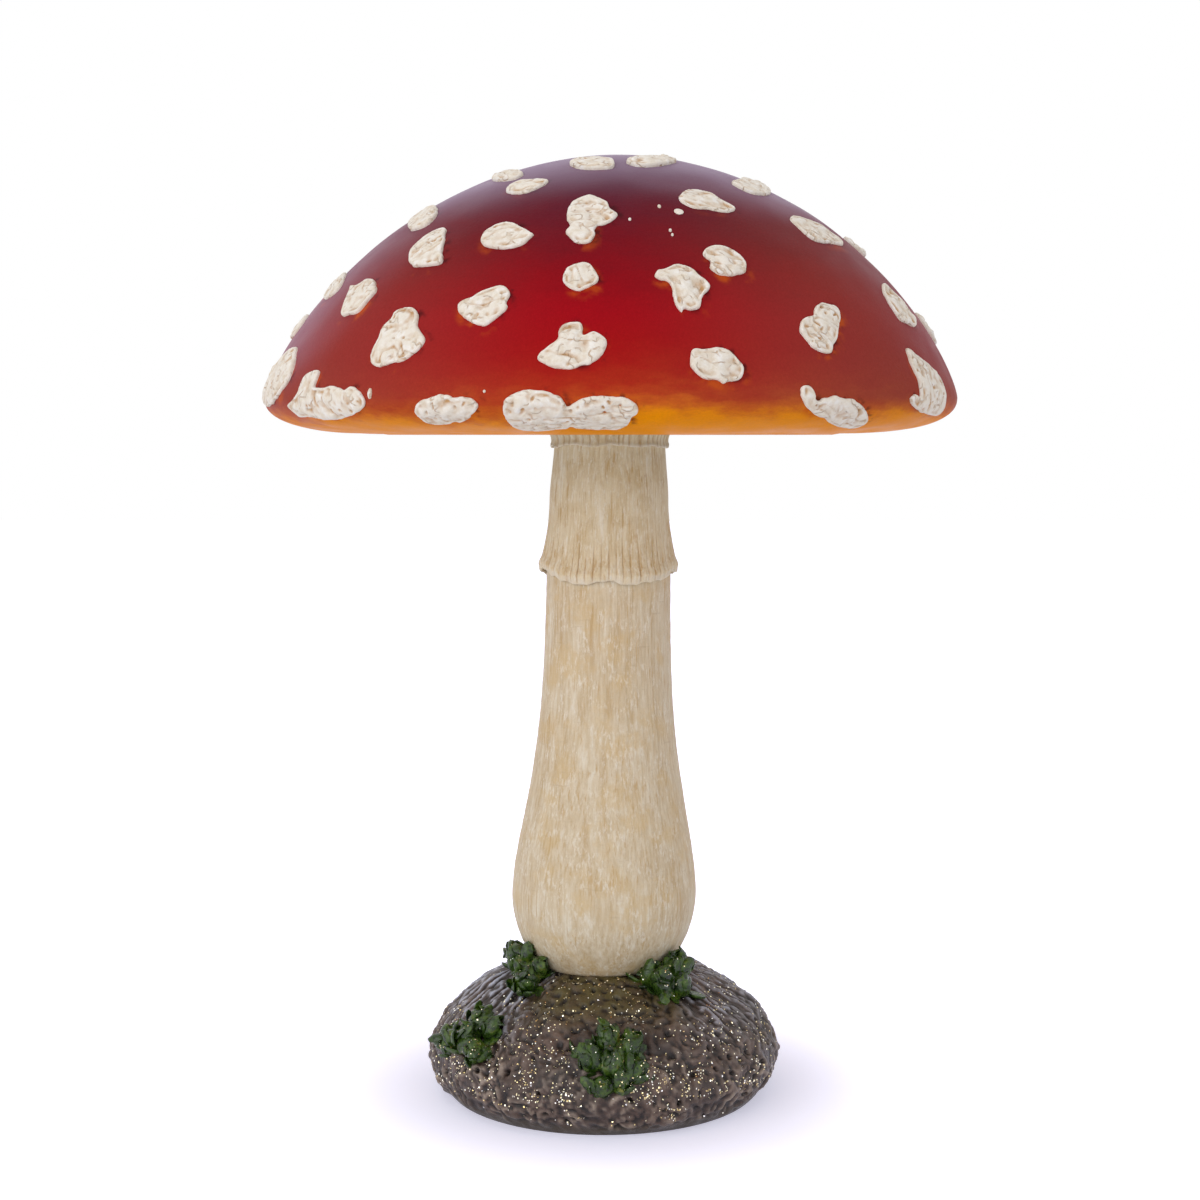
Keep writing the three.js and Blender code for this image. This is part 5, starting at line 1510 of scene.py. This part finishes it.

# %% [markdown]
# ## The soil mound
# The base is cast as a mound of damp soil: smooth lumps with sharp creases between them,
# deep pits, and fine ridges on its upper slopes. The dome is turned as a fine grid and every
# point is pushed along its normal by a sum of these forms. How far a point lies below or
# above its surroundings is kept for the painted shade in the creases, and for the paler
# paint and the painted sheen on the lumps.

# %% Turn the mound
mound_radius = (mound_high.x - mound_low.x) / 2
mound_waist = 17.0
mound_foot_radius = 68.5
mound_peak = 59.5
mound_fullness = 1.8
seat_radius = 28.0
cavity_radius = 56.0
cavity_height = 29.0
pad_radius = 65.3
pad_height = 3.0
mound_columns = 600
mound_top_rows = 100
mound_wall_rows = 34
smooth_all_over = 180
crease_shade_rounds = 14
crease_shade_strength = 2.4
raised_rounds = 10
raised_strength = 2.0


def mound_height(radius):
    share = np.clip(radius / mound_radius, 0, 1)
    return mound_waist + (mound_peak - mound_waist) * (1 - share**2) ** (1 / mound_fullness)


def wall_radius(height):
    below = (mound_waist - height) / mound_waist
    return mound_radius - (mound_radius - mound_foot_radius) * below**2


def flank_share(height, azimuth):
    """1 on the upper slopes at the sides and back, 0 low down and at the front."""
    return smooth_step(30, 42, height) * smooth_step(0.45, 0.9, np.abs(azimuth))


def soil_relief(points):
    """Height of the soil's forms above the smooth mound, in millimetres."""
    bent = bend(points, 2.4, 8, 51)
    near, far = nearest_cells(bent, 7.5, seed=55)
    lumps = smooth_step(0.0, 0.6, far - near) - 0.6
    small_near, small_far = nearest_cells(bent, 3.1, seed=58)
    crumbs = smooth_step(0.0, 0.5, small_far - small_near) - 0.6
    crumbly = smooth_step(-0.5, 0.4, noise(points, 14, seed=63))
    pit_near, _ = nearest_cells(bent, 6.3, seed=61)
    pits = (1 - smooth_step(0.09, 0.27, pit_near)) * smooth_step(-0.4, 0.1, noise(points, 9, seed=62))
    azimuth = np.arctan2(points[..., 0], -points[..., 1])
    flank = flank_share(points[..., 2], azimuth)
    furrows = np.stack([azimuth * 60 + points[..., 2] * 0.5, points[..., 2] / 3.2, 0 * azimuth], axis=-1)
    ridges = noise(furrows + 1.3 * noise(points, 4, seed=67)[..., None], 1.9, seed=66)
    rolling = 1.1 * noise(points, 17, seed=64) + 0.6 * noise(points, 8, seed=68)
    torn = noise(bent, 3.4, seed=69) + 0.6 * noise(bent, 1.9, seed=65)
    rough = 0.3 * lumps + 0.3 * crumbs * crumbly - 1.9 * pits + 0.55 * torn
    return rolling + 1.6 * rough * (1 - 0.7 * flank) + 1.1 * ridges * flank


sweep = np.linspace(0, 1, mound_top_rows)
top_radius = seat_radius + (mound_radius - seat_radius) * np.sin(sweep * math.pi / 2)
top_line = np.stack([top_radius, mound_height(top_radius)], axis=-1)
wall_height = np.linspace(mound_waist, 0, mound_wall_rows + 1)[1:]
wall_line = np.stack([wall_radius(wall_height), wall_height], axis=-1)
soil_line = np.concatenate([top_line, wall_line])
soil_slope = np.gradient(soil_line, axis=0)
soil_slope /= np.linalg.norm(soil_slope, axis=1)[:, None]
round_mound = all_round(mound_columns)
soil_grid = on_ring(soil_line[:, :1], soil_line[:, 1:], round_mound[None, :])
soil = soil_relief(soil_grid)
off_table = smooth_step(0.5, 6.0, soil_line[:, 1:])
off_seat = smooth_step(seat_radius - 0.1, seat_radius + 1.5, soil_line[:, :1])
soil *= off_table * off_seat
soil_grid += on_ring(-soil_slope[:, 1:] * soil, soil_slope[:, :1] * soil, round_mound[None, :])
hidden = [(pad_radius, 0), (pad_radius, pad_height), (cavity_radius, pad_height),
          (cavity_radius, cavity_height), (rod_bore_radius, cavity_height),
          (rod_bore_radius, stem_low.z - glue_gap), (socket_radius, stem_low.z - glue_gap),
          (socket_radius, seat_level)]
hidden_rings = []
for radius, height in hidden:
    ring = on_ring(radius, height, round_mound)
    hidden_rings.append(lean_stem(ring) if radius <= socket_radius else ring)
mound_grid = np.concatenate([soil_grid, np.stack(hidden_rings)])
# Painted shade: how far each point lies below its neighbours, for near-black in the creases.
wash = on_first_rows(mound_grid, np.clip((averaged(soil, crease_shade_rounds) - soil) * crease_shade_strength, 0, 1))
# How far each point stands above its neighbours: for paler paint low at the front and a painted sheen
# high up.
bloom = on_first_rows(mound_grid, np.clip((soil - averaged(soil, raised_rounds)) * raised_strength, 0, 1))
flank = on_first_rows(mound_grid, flank_share(soil_line[:, 1:], math.pi - np.abs(round_mound - math.pi)))
print("mound grid", mound_grid.shape)

# %% [markdown]
# Soil paint: a brown with pink and grey in it, painted shade near black in the creases,
# paler beige on the raised lumps low down at the front and a painted bluish-white sheen on
# the ridges high up at the left, an olive stain round the foot of the stem where the moss
# colour ran, and a darker band along the bottom edge.

# %% Mix the soil paint
soil_paint, finish, shader, place = new_finish("soil paint")
axes = finish.split(place)
tone = finish.ramp(finish.noise(place, 13, 5, 0.6), [
    (0.3, 46, 35, 31), (0.45, 66, 50, 43), (0.6, 88, 69, 60), (0.75, 120, 100, 88)])
low_front = (finish.spread(axes["Z"], 42.0, 14.0, 0.25, 1.0)
             * finish.patches(place, 17, 3, 0.4, 0.62, 0.15, 0.75))
raised_share, flank_value = finish.attribute("bloom"), finish.attribute("flank")
left = finish.spread(axes["X"], 20.0, -40.0, 0.5, 1.0)
# Painted sheen: bluish-white on the raised ridges high up at the sides and back, strongest at the left.
painted_ridge_sheen = raised_share * flank_value * left
olive_share = finish.spread(axes["Z"], 38.0, 52.0) * finish.patches(place, 8, 4, 0.3, 0.58, 0.3, 0.95)
olive_front = olive_share * (1.0 - flank_value)
stained = finish.coats(tone, (raised_share * low_front, (184, 166, 150)), (painted_ridge_sheen, (198, 202, 218)),
                       (olive_front, (88, 78, 42)))
# Painted shade: near-black in the creases and pits of the soil.
crease_shaded = finish.wash_and_shade_hollows(stained, (24, 18, 16), finish.attribute("wash"), 0.95)
foot_share = finish.spread(axes["Z"], 6.0, 3.0, 0.0, 0.75)
banded = finish.coats(crease_shaded, (foot_share, (74, 64, 50)))
soil_colour = finish.speckled(banded, place, 0.8, 0.7)
grit = finish.noise(place, 0.8, 4, 0.65)
paint(shader, {"Base Color": soil_colour, "Normal": finish.bump(grit, 0.3),
               "Roughness": finish.patches(place, 7, 3, 0.3, 0.7, 0.32, 0.55)}, Specular_IOR_Level=0.4)
mound_piece = make_turned("mound_casting", mound_grid, soil_paint, "soil_paint", ["base_mound"],
                          {"wash": wash, "bloom": bloom, "flank": flank}, smooth_all_over)

# %% [markdown]
# ## Moss
# The moss clumps are rosettes of fat, shiny leaves that overlap like roof tiles. The
# model has each clump as joined lumps, so a shrunken copy of those is the dark core, and
# Geometry Nodes grow leaves on it: points are scattered over the core at a least distance,
# and a leaf with a few dozen faces is laid on each, turned outwards, curled and varied.

# %% Mix the moss green
moss_green, finish, shader, place = new_finish("moss green")
tone = finish.ramp(finish.noise(place, 5, 3, 0.6), [
    (0.3, 24, 38, 8), (0.45, 40, 64, 14), (0.6, 66, 92, 24), (0.75, 118, 118, 42)])
leaf_bumps_and_shade = finish.noise(place, 1.6, 3)
# Painted shade: darker green where the noise is low, for the crevices between the leaves.
shaded = finish.wash_and_shade_hollows(tone, (10, 24, 10), finish.spread(leaf_bumps_and_shade, 0.52, 0.34), 0.8)
paint(shader, {"Base Color": shaded, "Normal": finish.bump(leaf_bumps_and_shade, 0.35),
               "Roughness": finish.patches(place, 2.5, 2, 0.3, 0.7, 0.18, 0.42)}, Specular_IOR_Level=0.4)
print("moss green mixed")

# %% Plan the leaves
plan = Plan("moss leaves", {
    "Leaf length": 0.006, "Leaf width": 0.004, "Leaf thickness": 0.0018, "Spacing": 0.0026,
    "Middle": (0, 0, 0), "Seed": 1, "Paint": None})
given = plan.given
ball = plan.out("GeometryNodeMeshUVSphere", {"Segments": 8, "Rings": 5, "Radius": 0.5})
leaf_size = plan.out("ShaderNodeCombineXYZ",
                     {"X": given["Leaf length"], "Y": given["Leaf width"], "Z": given["Leaf thickness"]})
long_ball = plan.out("GeometryNodeTransform", {"Geometry": ball, "Scale": leaf_size})
spot = plan.split(plan.out("GeometryNodeInputPosition", {}))
half_length = given["Leaf length"] * 0.5
along = spot["X"] / half_length
curl = plan.math("POWER", along + 1.0, 2.0) * (given["Leaf length"] * -0.09)
side = spot["Y"] / (given["Leaf width"] * 0.5)
cup = side * side * (given["Leaf width"] * -0.16)
move = plan.out("ShaderNodeCombineXYZ", {"X": half_length * 0.7, "Z": curl + cup})
leaf = plan.out("GeometryNodeSetPosition", {"Geometry": long_ball, "Offset": move})
smooth_leaf = plan.out("GeometryNodeSetShadeSmooth", {"Geometry": leaf})
scatter = plan.outputs(plan.node("GeometryNodeDistributePointsOnFaces", {
    "Mesh": given["Geometry"], "Distance Min": given["Spacing"], "Density Max": 600000.0,
    "Seed": given["Seed"]}, distribute_method="POISSON"))
position = plan.out("GeometryNodeInputPosition", {})
outward = plan.out("ShaderNodeVectorMath", {0: position, 1: given["Middle"]}, operation="SUBTRACT")
lay = plan.out("FunctionNodeAlignRotationToVector", {"Vector": scatter["Normal"]}, axis="Z")
aimed = plan.out("FunctionNodeAlignRotationToVector", {"Rotation": lay, "Vector": outward}, axis="X",
                 pivot_axis="Z")
sway = plan.out("FunctionNodeRandomValue",
                {0: (-0.4, -0.5, -0.8), 1: (0.4, 0.1, 0.8), "Seed": given["Seed"]},
                data_type="FLOAT_VECTOR")
swayed = plan.out("FunctionNodeRotateRotation", {"Rotation": aimed, "Rotate By": sway},
                  rotation_space="LOCAL")
size = plan.out("FunctionNodeRandomValue", {2: 0.65, 3: 1.25, "Seed": given["Seed"]}, 1)
copies = plan.out("GeometryNodeInstanceOnPoints", {"Points": scatter["Points"], "Instance": smooth_leaf,
                                                   "Rotation": swayed, "Scale": size})
both = plan.node("GeometryNodeJoinGeometry", {})
copies.join(both.inputs[0])
given["Geometry"].join(both.inputs[0])
plan.end(Output(plan, both.outputs[0]), given["Paint"])
print("leaf plan has", len(plan.tree.nodes), "nodes")

# %% Grow the moss
core_share = 0.86


def clump_core(node):
    """A welded copy of a clump's lumps, drawn in towards its middle."""
    core = bmesh.new()
    core.from_mesh(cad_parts[node].data)
    bmesh.ops.remove_doubles(core, verts=core.verts, dist=1e-6)
    low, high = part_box(node)
    middle = (low + high) / 2
    middle.z = low.z
    for vertex in core.verts:
        vertex.co = middle + (vertex.co - middle) * core_share
    mesh = bpy.data.meshes.new(node + "_core")
    core.to_mesh(mesh)
    core.free()
    return mesh, middle


clumps = []
for seed, node in enumerate(name for name in sorted(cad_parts) if name.startswith("moss_")):
    core, middle = clump_core(node)
    clumps.append(grow(node + "_leaves", plan, {
        "Middle": middle, "Seed": seed + 3, "Paint": moss_green, "Leaf length": 7.7 * MM,
        "Leaf width": 4.7 * MM, "Leaf thickness": 2.0 * MM, "Spacing": 3.0 * MM}, core, [node]))

# %% [markdown]
# ## Glitter
# Gold and white flakes, most of them about two thirds of a millimetre across, are sprinkled
# over the soil and the moss, thickest low down at the front. Geometry Nodes scatter them,
# thinned by a random mask, and each is a thin six-sided plate tilted a little.

# %% Mix the glitter
glitter_gold, finish, shader, place = new_finish("glitter gold")
tone = finish.ramp(finish.noise(place, 1.6, 1), [
    (0.35, 252, 226, 156), (0.5, 254, 244, 206), (0.65, 255, 255, 252)])
paint(shader, {"Base Color": tone, "Roughness": finish.patches(place, 1.1, 1, 0.3, 0.7, 0.15, 0.4)},
      Metallic=1.0)
print("glitter mixed")

# %% Plan the flakes
plan = Plan("glitter flakes", {
    "Flake size": 0.0005, "Flake thickness": 0.00008, "Density": 100000.0, "Lowest": 0.003, "Seed": 1,
    "Paint": None})
given = plan.given
flake = plan.out("GeometryNodeMeshCylinder",
                 {"Vertices": 6, "Radius": given["Flake size"] * 0.5, "Depth": given["Flake thickness"]})
position = plan.out("GeometryNodeInputPosition", {})
spot = plan.split(position)
patches = plan.out("ShaderNodeTexNoise", {"Vector": position, "Scale": 70.0, "Detail": 2.0})
front = plan.spread(spot["Y"], 0.03, -0.06, 0.3, 1.0) * plan.spread(spot["Z"], 0.045, 0.012, 0.35, 1.0)
outside = plan.spread(spot["Z"], given["Lowest"], given["Lowest"] + 0.003)
upward = plan.spread(plan.split(plan.out("GeometryNodeInputNormal", {}))["Z"], -0.5, 0.1)
share = plan.spread(patches, 0.4, 0.62, 0.1, 1.0) * front * (outside * upward)
scatter = plan.outputs(plan.node("GeometryNodeDistributePointsOnFaces",
                                 {"Mesh": given["Geometry"], "Density": share * given["Density"],
                                  "Seed": given["Seed"]}, distribute_method="RANDOM"))
tilt = plan.out("FunctionNodeRandomValue",
                {0: (-0.6, -0.6, 0), 1: (0.6, 0.6, 6.0), "Seed": given["Seed"]}, data_type="FLOAT_VECTOR")
laid = plan.out("FunctionNodeRotateRotation", {"Rotation": scatter["Rotation"], "Rotate By": tilt},
                rotation_space="LOCAL")
size = plan.out("FunctionNodeRandomValue", {2: 0.6, 3: 1.3, "Seed": given["Seed"]}, 1)
copies = plan.out("GeometryNodeInstanceOnPoints",
                  {"Points": scatter["Points"], "Instance": flake, "Rotation": laid, "Scale": size})
plan.end(copies, given["Paint"])
print("flake plan has", len(plan.tree.nodes), "nodes")

# %% Sprinkle the glitter
grow("glitter_on_soil", plan,
     {"Density": 500000.0, "Flake size": 0.68 * MM, "Seed": 4, "Paint": glitter_gold},
     mound_piece.data.copy())
all_moss = bmesh.new()
for clump in clumps:
    all_moss.from_mesh(clump.data)
moss_copy = bpy.data.meshes.new("moss copy")
all_moss.to_mesh(moss_copy)
all_moss.free()
grow("glitter_on_moss", plan,
     {"Density": 260000.0, "Flake size": 0.62 * MM, "Seed": 5, "Paint": glitter_gold}, moss_copy)

# %% [markdown]
# ## Pieces inside and below
# The steel rod, the mortar ballast and the felt pad keep their shape from the model. They
# are hidden when the ornament stands, and still get the finish that they would have.

# %% Finish the inner pieces
def finish_node(node, material):
    """Gives a piece of the model its material."""
    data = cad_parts[node].data
    data.materials.clear()
    data.materials.append(material)
    print(node, "is finished in", material.name)


rod_steel, finish, shader, place = new_finish("rod steel")
drawn = finish.streaks(place, 0.6, 30.0)
paint(shader, {"Base Color": finish.ramp(drawn, [(0.2, 120, 122, 126), (0.8, 176, 178, 182)]),
               "Roughness": finish.spread(drawn, 0.0, 1.0, 0.3, 0.5)}, Metallic=1.0)
finish_node("reinforcing_rod", rod_steel)

ballast_mortar, finish, shader, place = new_finish("ballast mortar")
sand = finish.noise(place, 1.2, 4, 0.7)
paint(shader, {"Base Color": finish.ramp(sand, [(0.3, 120, 116, 108), (0.7, 172, 168, 158)]),
               "Normal": finish.bump(sand, 0.5), "Roughness": finish.spread(sand, 0.3, 0.7, 0.85, 0.95)})
finish_node("base_ballast", ballast_mortar)

foot_felt, finish, shader, place = new_finish("foot felt")
fibres = finish.noise(finish.stretch(place, (1.0, 0.4, 1.0)), 0.5, 4, 0.7)
paint(shader,
      {"Base Color": finish.ramp(fibres, [(0.3, 34, 31, 29), (0.7, 66, 61, 57)]),
       "Normal": finish.bump(fibres, 0.3), "Roughness": finish.spread(fibres, 0.3, 0.7, 0.9, 1.0)})
finish_node("base_pad", foot_felt)
